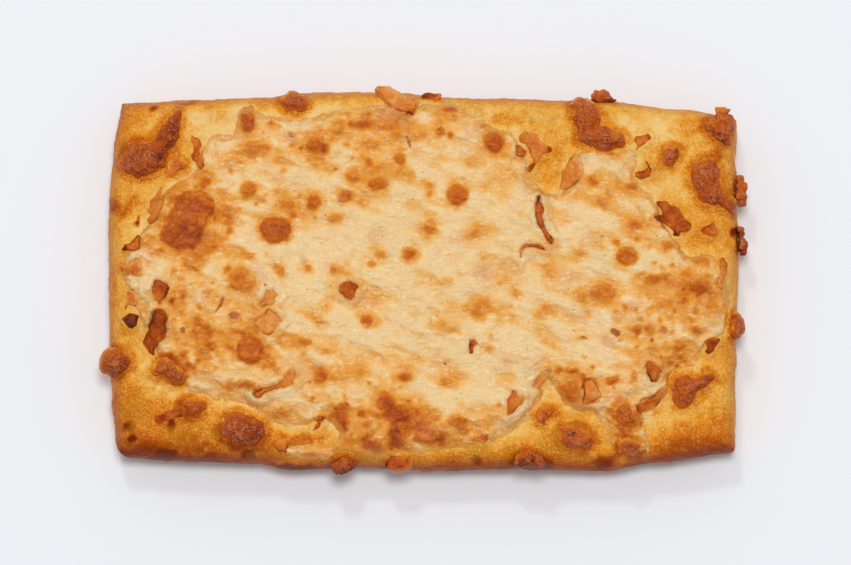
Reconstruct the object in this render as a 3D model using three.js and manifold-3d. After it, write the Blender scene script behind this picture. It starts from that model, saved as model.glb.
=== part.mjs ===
// A slab of chicken pizza, cut from a tray: a thick baked dough base, a melted cheese
// sheet with browned blisters, diced smoked chicken and loose lumps of crisped cheese.
// Millimetres, +Z up. X runs along the slice, Y across it, and the origin is the middle of the base.
import * as THREE from "three";
import { mergeVertices } from "three/addons/utils/BufferGeometryUtils.js";
import Module from "manifold-3d";

const wasm = await Module();
wasm.setup();

// Driving dimensions
const halfLength = 79;
const halfWidth = 46;
const doughHeight = 17.2;
const edge = { roll: 4.6, bulgeHeight: 8.6, footInset: 1.6 };
const cornerRadius = { topLeft: 1.2, topRight: 2.6, bottomRight: 1.8, bottomLeft: 4.2 };
const cheeseThickness = { rim: 0.9, body: 2.3, taper: 6 };
const gap = 0.32; // between pieces that touch
const doughGrid = { along: 26, across: 16, rollRows: 3, footRows: 2 };
const cheeseGrid = { along: 48, across: 28, outlineSteps: 2 };

// How far each side of the dough stands from the middle: [place along the side, distance].
const sides = {
  top: [
    [-76, 45.3], [-56, 46.2], [-40, 46.8], [-31, 48], [-11, 48.2], [10, 46.6], [44, 46],
    [64, 43.9], [78, 42],
  ],
  bottom: [
    [-76, -43.8], [-56, -44.8], [-42, -45.2], [-33, -46.8], [-14, -46.2], [2, -47], [20, -46.6],
    [46, -47], [57, -45], [78, -42.6],
  ],
  left: [[-44, -77], [-30, -78.1], [-17, -78.8], [0, -79], [20, -79.1], [34, -77.9], [45, -76]],
  right: [[-43, 78], [-30, 77.9], [-10, 78.4], [8, 79], [20, 78.6], [32, 78.3], [42, 78.6]],
};

// The melted cheese's edge, clockwise from the left.
const cheeseEdge = [
  [-75.2, 2.5], [-73.5, 8.5], [-69.5, 14], [-66.5, 20.5], [-62, 24.2], [-58.3, 26.5], [-56, 33],
  [-52, 36.5], [-48, 36.8], [-46.4, 42], [-43.8, 44.4], [-41.2, 42.2], [-33.5, 40.6], [-27, 41.2],
  [-20, 43], [-10, 44], [3, 44.5], [7.5, 44.8], [11, 42.2], [17, 38.8], [23, 36], [25.8, 30.5],
  [26.8, 25.2], [31, 21.8], [34.8, 23], [36.5, 29.8], [39.5, 32.6], [47, 32.8], [53, 32.8],
  [52.9, 26], [57, 20.8], [60.2, 14.8], [63, 10.5], [65.8, 6.2], [70.5, 6.8], [75.4, 3.6],
  [76, -2.5], [76.6, -11], [73.5, -14.2], [69.3, -17.5], [66.5, -21.6], [61.4, -24], [61, -28.4],
  [55, -30.4], [55, -36], [56, -42], [52, -44.2], [47.5, -43], [45.4, -36.5], [42, -33],
  [35.5, -31.4], [32, -25.8], [30.2, -25.5], [28.2, -32], [22, -37.5], [14, -40.8], [4, -42],
  [-4, -43.8], [-14, -43.7], [-18, -42.7], [-24, -44.4], [-31, -44.4], [-36.4, -42.5],
  [-33, -40.8], [-23, -40.6], [-21.4, -37.5], [-24, -35], [-31, -36.3], [-38, -35],
  [-44.2, -31], [-52, -29.4], [-60, -27.4], [-67.4, -23.6], [-67.2, -17.5], [-70.8, -9.8], [-74, -3],
];

// Blisters that stand up out of the cheese: x, y, half length, half width, turn, lift.
const blisters = [
  [-59.3, 15.3, 7.2, 6.6, 30, 2.4],
  [-36.8, 12.8, 4.2, 3.6, 0, 1.7],
  [-44, 40.2, 2.4, 3.9, 0, 2],
  [-26.6, 34, 2.7, 3, -30, 1.2],
  [-42.4, 33, 3.4, 2.4, 0, 0.8],
  [17.6, 34.7, 3.2, 2.7, -20, 1.4],
  [6.6, 43.2, 3, 1.8, 0, 1],
  [8.5, 21.2, 2.9, 2.9, 0, 1.6],
  [-3.9, 6.6, 2.2, 2.2, 0, 1],
  [-5.8, 30.2, 2.2, 2.2, 0, 1],
  [-27, 19.8, 2.2, 2.4, 0, 1],
  [-43.5, 22.8, 2.7, 2.3, 0, 1],
  [-46, -0.3, 3.1, 3, 0, 1.3],
  [-43.3, -17.3, 3.4, 3.9, 0, 1.8],
  [-54.5, -13.5, 2.4, 5.5, 0, 1.1],
  [-14.4, -10.5, 2, 2, 0, 0.9],
  [-29.7, -15, 2.2, 1.5, 0, 0.8],
  [-25.6, -23.5, 2.2, 2.6, 0, 1],
  [-9.3, -31, 3.6, 3.2, 0, 1.9],
  [-20, -35.8, 2.4, 2.1, 0, 1.1],
  [-12.3, -40.5, 2.5, 2, 0, 1.2],
  [-5.9, -39.6, 3.1, 3.1, 0, 2.2],
  [0.6, -38.7, 3.4, 2.5, -20, 1.8],
  [8.4, -35, 2.9, 2.4, 0, 1.3],
  [45.4, -2.4, 2.9, 2.4, 0, 1.3],
  [50.6, 5.8, 3.2, 2.7, 0, 1.3],
  [68.8, -1.8, 3.2, 2.4, 0, 1.3],
  [36.3, -28, 3.6, 3.1, 0, 1.7],
  [46.8, -25, 2.6, 2, 0, 1.3],
  [6.4, -11, 4, 2.6, 0, 0.7],
  [13.5, -7.4, 2.4, 2.6, 0, 0.7],
];

// The pieces on top. Each has its outline on the plan, and how far it rises over what it lies on.
// Those that hang over the slice's side keep to a level of their own, with a drop below it.
const chicken = [
  {
    name: "chicken_top_slab",
    rise: 2,
    level: 18.4,
    drop: 2.2,
    outline: [
      [-12.5, 47.8], [-11.5, 48.8], [-9.5, 48.8], [-8.2, 48.5], [-3.5, 46], [-1.8, 45.8], [-1, 45.2],
      [-2.2, 41.2], [-3, 40.5], [-3.8, 41.5], [-5.5, 42], [-7.5, 43], [-11.2, 46],
    ],
  },
  {
    name: "chicken_top_chip",
    rise: 1.6,
    level: 15.4,
    drop: 2,
    outline: [
      [-0.8, 47], [0.5, 47.5], [4.8, 47], [3.2, 45.5], [1.8, 45.5], [0.2, 46], [-0.8, 46],
    ],
  },
  {
    name: "chicken_bay_slab",
    rise: 1.8,
    outline: [
      [23.2, 36], [24.2, 37], [25.5, 37.8], [27, 37.5], [28, 37], [29, 35.8], [30.2, 34.5],
      [31.8, 33.5], [32.5, 32.5], [31.2, 31.8], [29.8, 31.5], [28.8, 30.8], [29.2, 30], [28, 29],
      [26.5, 27], [25.5, 28], [27.2, 30], [26.5, 31.2], [26.2, 33], [25, 34], [23.5, 34.8],
    ],
  },
  {
    name: "chicken_bay_nub",
    rise: 1.7,
    outline: [
      [23, 34], [23.8, 34.2], [25.8, 32.5], [25.2, 31.2], [24, 30.8], [23, 31.5], [22.8, 32.8],
    ],
  },
  {
    name: "chicken_bay_leaf",
    rise: 1.5,
    outline: [
      [36.2, 31], [37.8, 32.2], [38.8, 31.2], [39, 29.5], [40, 27.5], [39.2, 26], [36.5, 23],
      [34.8, 22.8], [33.5, 23.2], [34.2, 25.2], [34.2, 27.5], [35, 29.2],
    ],
  },
  {
    name: "chicken_dark_knot",
    rise: 2.2,
    outline: [
      [58, 19], [58.2, 20], [59.5, 20.2], [61, 20], [62, 19.2], [63.5, 18.8], [65.5, 15.8], [66.5, 15],
      [67, 13.8], [66.5, 12.2], [64, 12], [64, 11.2], [62.8, 11], [61.8, 11.2], [61.8, 12.5],
      [59.2, 14.8], [58, 15.2], [57.2, 16], [59.2, 16.8], [58.8, 18],
    ],
  },
  {
    name: "chicken_right_chip",
    rise: 1.7,
    outline: [
      [69, 12.8], [72.2, 14.8], [73.5, 12.2], [73.5, 10.5], [72.2, 11], [70.5, 10.8], [69.5, 11.5],
    ],
  },
  {
    name: "chicken_upper_fold",
    rise: 1.8,
    outline: [
      [55, 30.2], [56, 29.8], [56.8, 28.5], [56.8, 26], [54, 24.8], [52.5, 26.8], [53.5, 27.5],
      [54.8, 27.8], [55.8, 28.5], [55.5, 29.5],
    ],
  },
  {
    name: "chicken_upper_tail",
    rise: 1.4,
    outline: [
      [52, 35.8], [53.2, 36.8], [56, 37.2], [57, 36.5], [56.8, 35.5], [54.2, 33.2], [53, 32.5],
      [52.5, 32.8], [53, 33.8],
    ],
  },
  {
    name: "chicken_middle_dice",
    rise: 1.9,
    outline: [
      [-21.2, -2.2], [-20.8, -1.2], [-19.8, -0.5], [-18.5, -0.2], [-16.2, -1.2], [-16.5, -2.2],
      [-17.2, -3], [-17.5, -4], [-18.2, -5], [-21, -3.2],
    ],
  },
  {
    name: "chicken_left_wing",
    rise: 1.5,
    outline: [
      [-66, 23.8], [-65.2, 23.8], [-65.5, 20.8], [-64.8, 20], [-65.8, 16.8], [-66.5, 15.2], [-67.5, 14],
      [-68.5, 14.2], [-68.8, 15.2], [-68.2, 16.5], [-69.2, 17.8], [-68.5, 18.8], [-68.8, 20],
      [-67.8, 21], [-66.8, 21.5], [-66.5, 22.8],
    ],
  },
  {
    name: "chicken_left_point",
    rise: 1.1,
    outline: [
      [-75.5, 8.2], [-74.8, 9.2], [-73.8, 9.5], [-72.5, 10.5], [-71.2, 12], [-70.5, 10.5], [-70.5, 8],
      [-71.5, 6.8], [-75.2, 7.5],
    ],
  },
  {
    name: "chicken_left_flap",
    rise: 1.1,
    outline: [
      [-75.8, 3], [-74.8, 3.8], [-73.5, 4.2], [-72.5, 5.8], [-71.2, 6.5], [-70.5, 5], [-70.2, 2.8],
      [-70.5, 1], [-72, 0.8], [-74.8, 2],
    ],
  },
  {
    name: "chicken_tip_flake",
    rise: 1.1,
    outline: [
      [-74.2, -2.2], [-73.2, -2], [-71.5, -2.5], [-71.2, -4.5], [-71.5, -6.8], [-73.2, -6.2],
      [-74, -7.2], [-75, -7.2], [-74.5, -5.8],
    ],
  },
  {
    name: "chicken_left_dice",
    rise: 1.9,
    outline: [
      [-68.2, -2.8], [-67, 0.2], [-65.8, 0.2], [-64.5, -0.5], [-63.2, -1.8], [-64.2, -4.2], [-66, -5.8],
    ],
  },
  {
    name: "chicken_edge_dice",
    rise: 2.1,
    outline: [
      [-75.5, -9.5], [-74.5, -8.5], [-73.2, -7.8], [-70.8, -8.5], [-70.8, -9.8], [-71.2, -11.2],
      [-72.5, -12.2], [-73.8, -12],
    ],
  },
  {
    name: "chicken_corner_strip",
    rise: 1.8,
    outline: [
      [-67.2, -34.8], [-66.8, -33.5], [-64, -32.2], [-61, -30.5], [-60, -31.8], [-59.2, -33.5],
      [-59.5, -34.2], [-63.5, -34.5], [-64.5, -35], [-66, -36.2], [-66.8, -35.8],
    ],
  },
  {
    name: "chicken_bottom_block",
    rise: 3,
    level: 15.4,
    drop: 3,
    outline: [
      [-9.5, -45.2], [-8.8, -44.2], [-8.8, -43], [-7.2, -42.2], [-5.5, -42.8], [-4, -42], [-2.5, -42.5],
      [-2.8, -46], [-3.5, -47.2], [-7, -47.5], [-8.5, -47], [-9.5, -47], [-9.8, -46],
    ],
  },
  {
    name: "chicken_centre_shard",
    rise: 1.2,
    outline: [
      [11, -13.2], [11.5, -14.5], [12.8, -14.5], [13.8, -15.5], [13, -16.2], [12, -18.5], [11.2, -17.8],
      [10.8, -16.2],
    ],
  },
  {
    name: "chicken_right_dice",
    rise: 1.9,
    outline: [
      [55, -21], [56, -20], [57, -21], [58.5, -21.5], [59, -22.8], [58, -25.2], [56.5, -25.5],
      [55.2, -22.8],
    ],
  },
  {
    name: "chicken_right_rind",
    rise: 1.8,
    outline: [
      [52.2, -31], [53.5, -31], [54.8, -29.8], [58, -28.5], [58.8, -27], [60.2, -26.5], [61.2, -27.2],
      [58.2, -31.5], [56.8, -32.5], [54.8, -33.2], [53.2, -33.2], [53, -32],
    ],
  },
  {
    name: "chicken_low_wedge",
    rise: 1.4,
    outline: [
      [20.5, -29.5], [21.5, -28.8], [21.8, -27.2], [23, -27.5], [23, -28.8], [25.2, -29.2],
      [24.5, -30.8], [23.2, -32.2], [22, -33.2], [20.2, -34], [20.8, -32.5],
    ],
  },
  {
    name: "chicken_low_hook",
    rise: 1.4,
    outline: [
      [-27.8, -34.2], [-26.5, -34], [-25.5, -33.5], [-24.5, -34.2], [-24.8, -35.8], [-25.8, -36.8],
      [-27.8, -37.8], [-27.5, -36.5], [-27, -35.5],
    ],
  },
  {
    name: "chicken_low_strip",
    rise: 1.1,
    outline: [
      [-42.8, -28.2], [-41.8, -27.5], [-40, -26.8], [-36.2, -25.5], [-35, -24.5], [-34.2, -23],
      [-33, -22], [-31.8, -22.5], [-31.8, -24.2], [-32.5, -26], [-34.2, -26.8], [-39.5, -28.2],
      [-40.5, -29.2], [-41.5, -29.5],
    ],
  },
  {
    name: "chicken_low_chip",
    rise: 1.4,
    outline: [
      [-39.2, -41], [-38, -39.8], [-33.5, -38.8], [-33, -39.5], [-34.2, -43], [-35.8, -42.8],
    ],
  },
  {
    name: "chicken_pale_slab",
    rise: 1.3,
    outline: [
      [-43.2, -9.8], [-42, -9.8], [-40.2, -8.8], [-38.8, -7.5], [-37, -7.8], [-34.8, -10.2],
      [-36, -10.8], [-37, -12], [-37.8, -13.5], [-39, -13.8], [-42, -11.8],
    ],
  },
  {
    name: "chicken_pale_dice",
    rise: 1.1,
    outline: [
      [-39.5, -2.2], [-38.2, -1.8], [-37, -2.2], [-36.2, -3.5], [-37.8, -6.5], [-39.2, -6.2],
      [-40.5, -6.8], [-41, -6.2], [-40.2, -5], [-40.2, -3.5],
    ],
  },
  {
    name: "chicken_rim_char",
    rise: 1.7,
    outline: [
      [69.8, -17.8], [70.5, -16.8], [70, -15.2], [70.8, -14.5], [73.8, -14], [74.2, -15], [71.5, -18],
      [70.5, -18.5],
    ],
  },
  {
    name: "chicken_rim_strip",
    rise: 1.5,
    outline: [
      [73.5, 5.2], [74.2, 6], [75, 6], [75.2, 4.8], [75.8, 4], [75, -1.2], [74.5, -2.2], [73.2, -1.8],
      [73, -0.5], [73.8, 1.2],
    ],
  },
  {
    name: "chicken_grey_dice",
    rise: 1.8,
    outline: [
      [39.2, -25.5], [40, -24.5], [41.5, -24.2], [43, -25.5], [44.5, -28.8], [43.5, -30], [40, -31.2],
      [39.2, -30.5], [39.8, -28.8],
    ],
  },
  {
    name: "chicken_tan_leaf",
    rise: 0.9,
    outline: [
      [26.5, -26.2], [27.2, -24.5], [28.5, -23.2], [30, -22.2], [31.5, -22], [32, -23], [30.8, -24.8],
      [29.5, -26], [28, -27.2], [26.8, -27.2],
    ],
  },
  {
    name: "chicken_bottom_wedge",
    rise: 1.4,
    outline: [
      [11.2, -40], [15.5, -38.2], [16, -39.5], [15.2, -40.5], [12.5, -40],
    ],
  },
];

// Strips of peel on edge.
const peels = [
  {
    name: "peel_long_curl",
    rise: 1.7,
    outline: [
      [29, 21.5], [28.2, 20.8], [27.8, 19], [27.8, 17.2], [28.2, 14], [30.5, 10.2], [31.2, 9.2],
      [32, 8.8], [32.2, 9.8], [31.8, 11], [30.8, 12.2], [30, 13.8], [29.5, 15.5], [29.2, 16.8],
      [30, 17.5], [29.5, 18.8], [28.8, 19.5],
    ],
  },
  {
    name: "peel_small_arch",
    rise: 1.1,
    outline: [
      [23.8, 5.5], [24, 8], [24.5, 8.8], [25.5, 9.5], [28.2, 9.2], [29.5, 8.5], [30.2, 7.5],
      [27.8, 8.2], [26.2, 8.2], [25, 7.8], [24.5, 6.8], [24.2, 5.5],
    ],
  },
  {
    name: "peel_upper_left",
    rise: 1.6,
    outline: [
      [-58.2, 37.2], [-57.2, 36.2], [-56.2, 36], [-55.2, 35.2], [-55.8, 32.5], [-55.8, 31],
      [-54.5, 28.8], [-55.2, 27.8], [-56.2, 28], [-57.2, 29.8], [-58.2, 30.5], [-58, 34.2],
      [-58.5, 35.5],
    ],
  },
  {
    name: "peel_left_curl",
    rise: 2,
    outline: [
      [-67.8, -8.2], [-66.8, -7.2], [-65.2, -7.2], [-64.2, -8], [-63.8, -9.2], [-64, -11],
      [-63.8, -12.8], [-64.5, -14.8], [-66.2, -15.8], [-67, -17], [-67.2, -18.8], [-68.8, -17.8],
      [-69.8, -16.5], [-70.2, -15], [-69.5, -13.5], [-68.5, -12.2], [-68.5, -10.8],
    ],
  },
];

// Crisped lumps of cheese that ran off or stand apart.
const crisps = [
  {
    name: "crisp_left_ball",
    rise: 4.4,
    level: 16.6,
    drop: 3.2,
    outline: [
      [-81.2, -20], [-80.8, -18.2], [-79.5, -17], [-78, -16.2], [-76.2, -16], [-74.2, -16.8],
      [-72.8, -17.8], [-71.8, -19.8], [-72, -21.5], [-73.2, -23], [-75, -24], [-76.8, -24.2],
      [-78.5, -23.8], [-80, -22.8], [-81, -21.5],
    ],
  },
  {
    name: "crisp_corner_cluster",
    rise: 3.2,
    outline: [
      [-76.8, 30], [-75.5, 33], [-74, 34.5], [-72.2, 35.5], [-68.5, 35.8], [-67.5, 36.8], [-66.8, 38.5],
      [-63.2, 42], [-62.5, 43.2], [-61.2, 43.5], [-60, 42.8], [-60.5, 36.5], [-61, 34.8], [-61.8, 33.5],
      [-63.5, 32.5], [-64.5, 28.8], [-65.8, 27], [-71.5, 24.8], [-74.8, 26.5], [-76.5, 28.8],
    ],
  },
  {
    name: "crisp_corner_bead",
    rise: 1.7,
    outline: [
      [-64.8, 27.8], [-64.5, 29.5], [-63.5, 30.5], [-62, 31.2], [-60.5, 31.2], [-59.2, 30.5],
      [-58.5, 29.2], [-58.8, 27.8], [-60, 26.8], [-61.8, 26.2], [-63.5, 26.2],
    ],
  },
  {
    name: "crisp_top_dome",
    rise: 3.6,
    level: 17,
    drop: 3,
    outline: [
      [-36.2, 44.2], [-35.8, 45.8], [-33.5, 47.8], [-31.8, 47.8], [-30.2, 47.2], [-29, 46],
      [-28.2, 44.5], [-28.2, 43], [-29.5, 42], [-33.5, 41.8], [-35.2, 42.2],
    ],
  },
  {
    name: "crisp_upper_pair",
    rise: 3.3,
    outline: [
      [36.2, 41.2], [36.8, 43], [35.8, 44], [36, 45], [38.5, 47], [40, 46.5], [43, 45], [45.8, 40],
      [47, 38.5], [49, 38], [50.5, 37], [51.2, 35.5], [50.8, 34], [49, 33], [44.5, 32.2], [40.2, 33.2],
      [38.5, 34], [37.8, 35.5], [37.8, 37.2],
    ],
  },
  {
    name: "crisp_top_crag",
    rise: 2.6,
    level: 13,
    drop: 2.6,
    outline: [
      [41.8, 46], [41.8, 47], [45.2, 49], [46.5, 48.2], [48.5, 46], [48, 44.8], [45.5, 44.5],
      [43.2, 44.8],
    ],
  },
  {
    name: "crisp_corner_nut",
    rise: 3.4,
    level: 17.2,
    drop: 3,
    outline: [
      [69, 39.2], [70.2, 40.8], [73.2, 43], [75, 43.8], [76.5, 43], [77.2, 41.2], [77.5, 39.5],
      [76.8, 35.8], [75.8, 34.2], [74.2, 33.8], [71, 35.5],
    ],
  },
  {
    name: "crisp_upper_nugget",
    rise: 2.2,
    outline: [
      [59.2, 33.8], [60.5, 34.5], [62, 34], [63.5, 34.5], [64.8, 33.8], [64.5, 32.2], [63, 29.5],
      [61.5, 28.5], [59.8, 28.5], [59, 29.8],
    ],
  },
  {
    name: "crisp_right_ridge",
    rise: 3,
    outline: [
      [66, 28], [66.5, 29.5], [69.2, 31.2], [72.8, 32], [74, 31], [74.5, 25], [75.2, 23], [77.8, 20.8],
      [78.2, 19.2], [78, 17.2], [77.2, 16], [74.5, 18], [73, 18.5], [71, 18.2], [69.2, 19],
      [67.8, 20.8], [66, 25], [65.8, 26.5],
    ],
  },
  {
    name: "crisp_right_heart",
    rise: 2.7,
    outline: [
      [61, -24], [62, -22.8], [65.5, -22.2], [67, -23.2], [68.5, -23.5], [69.8, -22.5], [71.2, -22.2],
      [72.5, -23], [72.8, -24.2], [69, -28.2], [66.8, -31.5], [65.2, -32.2], [63.5, -32], [62.2, -30.8],
      [60.8, -27.2],
    ],
  },
  {
    name: "crisp_low_dome",
    rise: 3.4,
    outline: [
      [-51.5, -37.2], [-51, -35], [-49.8, -33.2], [-48, -32.2], [-45.8, -32.2], [-41.2, -34],
      [-39.5, -35], [-38.8, -37], [-39.2, -39], [-41.2, -41.8], [-43.2, -42.2], [-47.2, -41.5],
      [-50.5, -39],
    ],
  },
  {
    name: "crisp_left_knob",
    rise: 2.3,
    outline: [
      [-68.8, -23], [-68.2, -21.5], [-67.2, -20], [-66, -19], [-64.2, -18.8], [-62.8, -19.5],
      [-60, -22.2], [-59, -23.8], [-59.2, -25.5], [-60.5, -26.2], [-62.5, -26], [-66.8, -24.5],
    ],
  },
  {
    name: "crisp_strip_ball",
    rise: 2.9,
    outline: [
      [-60.5, -30], [-59.5, -29], [-58, -28.8], [-54.8, -29.2], [-54, -30.2], [-54, -31.8],
      [-54.8, -33.2], [-56.2, -34.2], [-57.8, -34.2], [-59.2, -33.8], [-60.2, -32.5], [-60.8, -31.2],
    ],
  },
  {
    name: "crisp_bottom_ball",
    rise: 3.2,
    level: 15.6,
    drop: 2.8,
    outline: [
      [-23.2, -46], [-22.5, -44.5], [-21, -43.5], [-19.2, -43.2], [-17.8, -44.2], [-17, -45.8],
      [-17.5, -47.2], [-19, -48.2], [-20.5, -48.5], [-22, -48], [-23, -47.2],
    ],
  },
  {
    name: "crisp_bottom_lump",
    rise: 3,
    level: 16.6,
    drop: 2.6,
    outline: [
      [21.8, -45], [22.8, -43.2], [24, -42], [25.8, -41.2], [27.8, -41.5], [29.2, -42.5], [31.2, -45.5],
      [30.2, -46.5], [23.8, -46.8], [22.2, -46.2],
    ],
  },
  {
    name: "crisp_low_button",
    rise: 2.6,
    outline: [
      [32.8, -37.5], [33, -36], [34.2, -35.5], [35.8, -36], [37.2, -35.5], [39, -36], [40.8, -37],
      [42.2, -38.2], [43, -39.8], [42.2, -41.2], [41, -42.5], [39, -42.8], [34.8, -41.8], [33.2, -40.5],
      [32.8, -39],
    ],
  },
  {
    name: "crisp_low_shell",
    rise: 2.4,
    outline: [
      [46.2, -33.8], [46.2, -32.2], [47, -31], [48.2, -30.2], [49.8, -30.2], [51.2, -31.2],
      [53.5, -34.5], [53.2, -36.2], [51.8, -37], [49.8, -36.8], [46.8, -35],
    ],
  },
  {
    name: "crisp_low_crumple",
    rise: 2.2,
    outline: [
      [47.5, -40.8], [48.5, -39.5], [50.2, -39], [54, -40], [54.5, -41.5], [53.8, -43], [52, -43.8],
      [50.2, -43.5], [48.5, -42.5],
    ],
  },
  {
    name: "crisp_right_ball",
    rise: 3,
    level: 16,
    drop: 2.8,
    outline: [
      [76, -10], [76.2, -8.2], [77.2, -7], [78.5, -7.2], [79.5, -8.2], [80.2, -9.8], [80.2, -11.5],
      [79.8, -12.8], [79, -14.2], [78, -15], [76.8, -14.2], [76.2, -12.8],
    ],
  },
  {
    name: "crisp_wall_crag",
    rise: 2.6,
    level: 13,
    drop: 2.6,
    outline: [
      [78, 26], [78.8, 27], [79.5, 26.5], [79.5, 25.2], [80.5, 24.8], [81, 23.8], [80.5, 22.8],
      [81, 21.2], [81, 20], [80, 19], [79, 19], [78, 20.5], [77.8, 23],
    ],
  },
  {
    name: "crisp_wall_knot",
    rise: 2.6,
    level: 12.6,
    drop: 2.4,
    outline: [
      [77.8, 14.5], [80, 13.8], [80.2, 12.5], [79.8, 11.2], [81.2, 10.5], [81.2, 8.8], [80, 6.5],
      [78.8, 6.8], [78.2, 8.2], [78.5, 11.2], [77.8, 12.8],
    ],
  },
  {
    name: "crisp_low_pebble",
    rise: 1.8,
    outline: [
      [27.8, -35.5], [27.2, -33.5], [28.2, -31.8], [30, -31], [33.2, -32], [33.2, -33.2], [31.8, -33.8],
      [29.8, -36], [28.8, -36.2],
    ],
  },
];

// How a piece rounds over: rings from the widest to the cap, each as how far in it lies, as a share of the
// half width, and its share of the height. The half width counts up to a limit.
const profiles = {
  slab: { limit: 2, rings: [[0, 0.45], [0.4, 1]] },
  dome: { limit: 4.5, rings: [[0, 0.12], [0.24, 0.64], [0.62, 1]] },
};

const looks = {
  dough: { color: 0xd39a4e, roughness: 0.7 },
  cheese: { color: 0xf0cf95, roughness: 0.45 },
  chicken: { color: 0xb85f22, roughness: 0.4 },
  peel: { color: 0x9a3c12, roughness: 0.35 },
  crisp: { color: 0x9c5026, roughness: 0.75 },
};

const clamp = (value, low, high) => Math.min(high, Math.max(low, value));
const smooth = (value) => value * value * (3 - 2 * value);
const radians = (degrees) => (degrees * Math.PI) / 180;

// A smooth curve through [place, value] pairs, read at s.
function along(pairs, s) {
  const last = pairs.length - 1;
  const at = clamp(s, pairs[0][0], pairs[last][0]);
  let i = 0;
  while (i < last - 1 && pairs[i + 1][0] < at) i++;
  const [x0, y0] = pairs[i];
  const [x1, y1] = pairs[i + 1];
  return y0 + (y1 - y0) * smooth((at - x0) / (x1 - x0));
}

// The square's corners are drawn in to the corner radii; u and v run from -1 to 1.
function roundCorner(u, v) {
  const radius = v > 0
    ? (u < 0 ? cornerRadius.topLeft : cornerRadius.topRight)
    : (u < 0 ? cornerRadius.bottomLeft : cornerRadius.bottomRight);
  const shareU = radius / halfLength;
  const shareV = radius / halfWidth;
  const s = (Math.abs(u) - 1 + shareU) / shareU;
  const t = (Math.abs(v) - 1 + shareV) / shareV;
  if (s <= 0 || t <= 0) return [u, v];
  return [
    Math.sign(u) * (1 - shareU + shareU * s * Math.sqrt(1 - (t * t) / 2)),
    Math.sign(v) * (1 - shareV + shareV * t * Math.sqrt(1 - (s * s) / 2)),
  ];
}

// The slice's plan: a point of the square becomes a point of the real outline's inside.
function plan(u, v) {
  const [a, b] = roundCorner(u, v);
  const x = a * (a < 0 ? -along(sides.left, b * halfWidth) : along(sides.right, b * halfWidth));
  const y = b * (b < 0 ? -along(sides.bottom, x) : along(sides.top, x));
  return [x, y];
}

// Distance in from the nearest side.
function inFromEdge(x, y) {
  return Math.min(
    x - along(sides.left, y),
    along(sides.right, y) - x,
    along(sides.top, x) - y,
    y - along(sides.bottom, x),
  );
}

// The dough's top before its edge rolls down: slow waves, and a rim a little higher than the middle.
function doughBase(x, y) {
  const rim = 0.7 * smooth(clamp(1 - (inFromEdge(x, y) - edge.roll) / 12, 0, 1));
  return doughHeight + rim
    + 0.45 * Math.sin(x / 11 + 0.6) * Math.cos(y / 9 - 0.4)
    + 0.25 * Math.sin(x / 4.7 - y / 6.1);
}

function doughTop(x, y) {
  const inset = clamp(inFromEdge(x, y), 0, edge.roll);
  const outward = 1 - inset / edge.roll;
  const top = doughBase(x, y);
  return top - (top - edge.bulgeHeight) * (1 - Math.sqrt(1 - outward * outward));
}

// How far inside an ellipse a point lies, from 1 in the middle to 0 at the edge; negative outside.
function insideEllipse([cx, cy, long, wide, turn], x, y) {
  const c = Math.cos(radians(turn));
  const s = Math.sin(radians(turn));
  return 1 - Math.hypot(((x - cx) * c + (y - cy) * s) / long, ((y - cy) * c - (x - cx) * s) / wide);
}

const flatCurve = (route, closed) => (
  new THREE.CatmullRomCurve3(route.map(([x, y]) => new THREE.Vector3(x, y, 0)), closed)
);
const cheeseCurve = flatCurve(cheeseEdge, true);
const cheeseOutline = cheeseCurve.getPoints(cheeseEdge.length * cheeseGrid.outlineSteps).slice(1);

// Distance in from the cheese's edge; negative outside.
function cheeseDepth(x, y) {
  let nearest = Infinity;
  let inside = false;
  cheeseOutline.forEach((a, i) => {
    const b = cheeseOutline[(i + 1) % cheeseOutline.length];
    const share = clamp(((x - a.x) * (b.x - a.x) + (y - a.y) * (b.y - a.y)) / a.distanceToSquared(b), 0, 1);
    nearest = Math.min(nearest, Math.hypot(a.x + share * (b.x - a.x) - x, a.y + share * (b.y - a.y) - y));
    if (a.y > y !== b.y > y && x < a.x + ((y - a.y) * (b.x - a.x)) / (b.y - a.y)) inside = !inside;
  });
  return inside ? nearest : -nearest;
}

function cheeseTop(x, y) {
  const body = smooth(clamp(cheeseDepth(x, y) / cheeseThickness.taper, 0, 1));
  let lift = 0;
  for (const blister of blisters) {
    const share = clamp((insideEllipse(blister, x, y) + 0.4) / 0.9, 0, 1);
    lift = Math.max(lift, blister[5] * smooth(share));
  }
  return doughTop(x, y) + cheeseThickness.rim + cheeseThickness.body * body + lift
    + 0.3 * body * Math.sin(x / 5.3 + 1) * Math.sin(y / 4.1 + x / 17);
}

const surfaceAt = (x, y) => (cheeseDepth(x, y) > 0 ? cheeseTop(x, y) : doughTop(x, y));

// A closed mesh of indexed points as a solid, and back.
function solid(points, faces) {
  const geometry = new THREE.BufferGeometry();
  geometry.setAttribute("position", new THREE.Float32BufferAttribute(points.flat(), 3));
  geometry.setIndex(faces.flat());
  return asSolid(geometry);
}

function asSolid(geometry) {
  geometry.deleteAttribute("normal");
  geometry.deleteAttribute("uv");
  const merged = mergeVertices(geometry, 1e-4);
  return new wasm.Manifold(new wasm.Mesh({
    numProp: 3,
    vertProperties: merged.attributes.position.array,
    triVerts: new Uint32Array(merged.index.array),
  }));
}

function meshOf(name, made, look) {
  const { vertProperties, triVerts } = made.getMesh();
  const geometry = new THREE.BufferGeometry();
  geometry.setAttribute("position", new THREE.Float32BufferAttribute(vertProperties, 3));
  geometry.setIndex(new THREE.BufferAttribute(new Uint32Array(triVerts), 1));
  geometry.computeVertexNormals();
  const mesh = new THREE.Mesh(geometry, new THREE.MeshStandardMaterial({ ...look, metalness: 0 }));
  mesh.name = name;
  return mesh;
}

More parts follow.
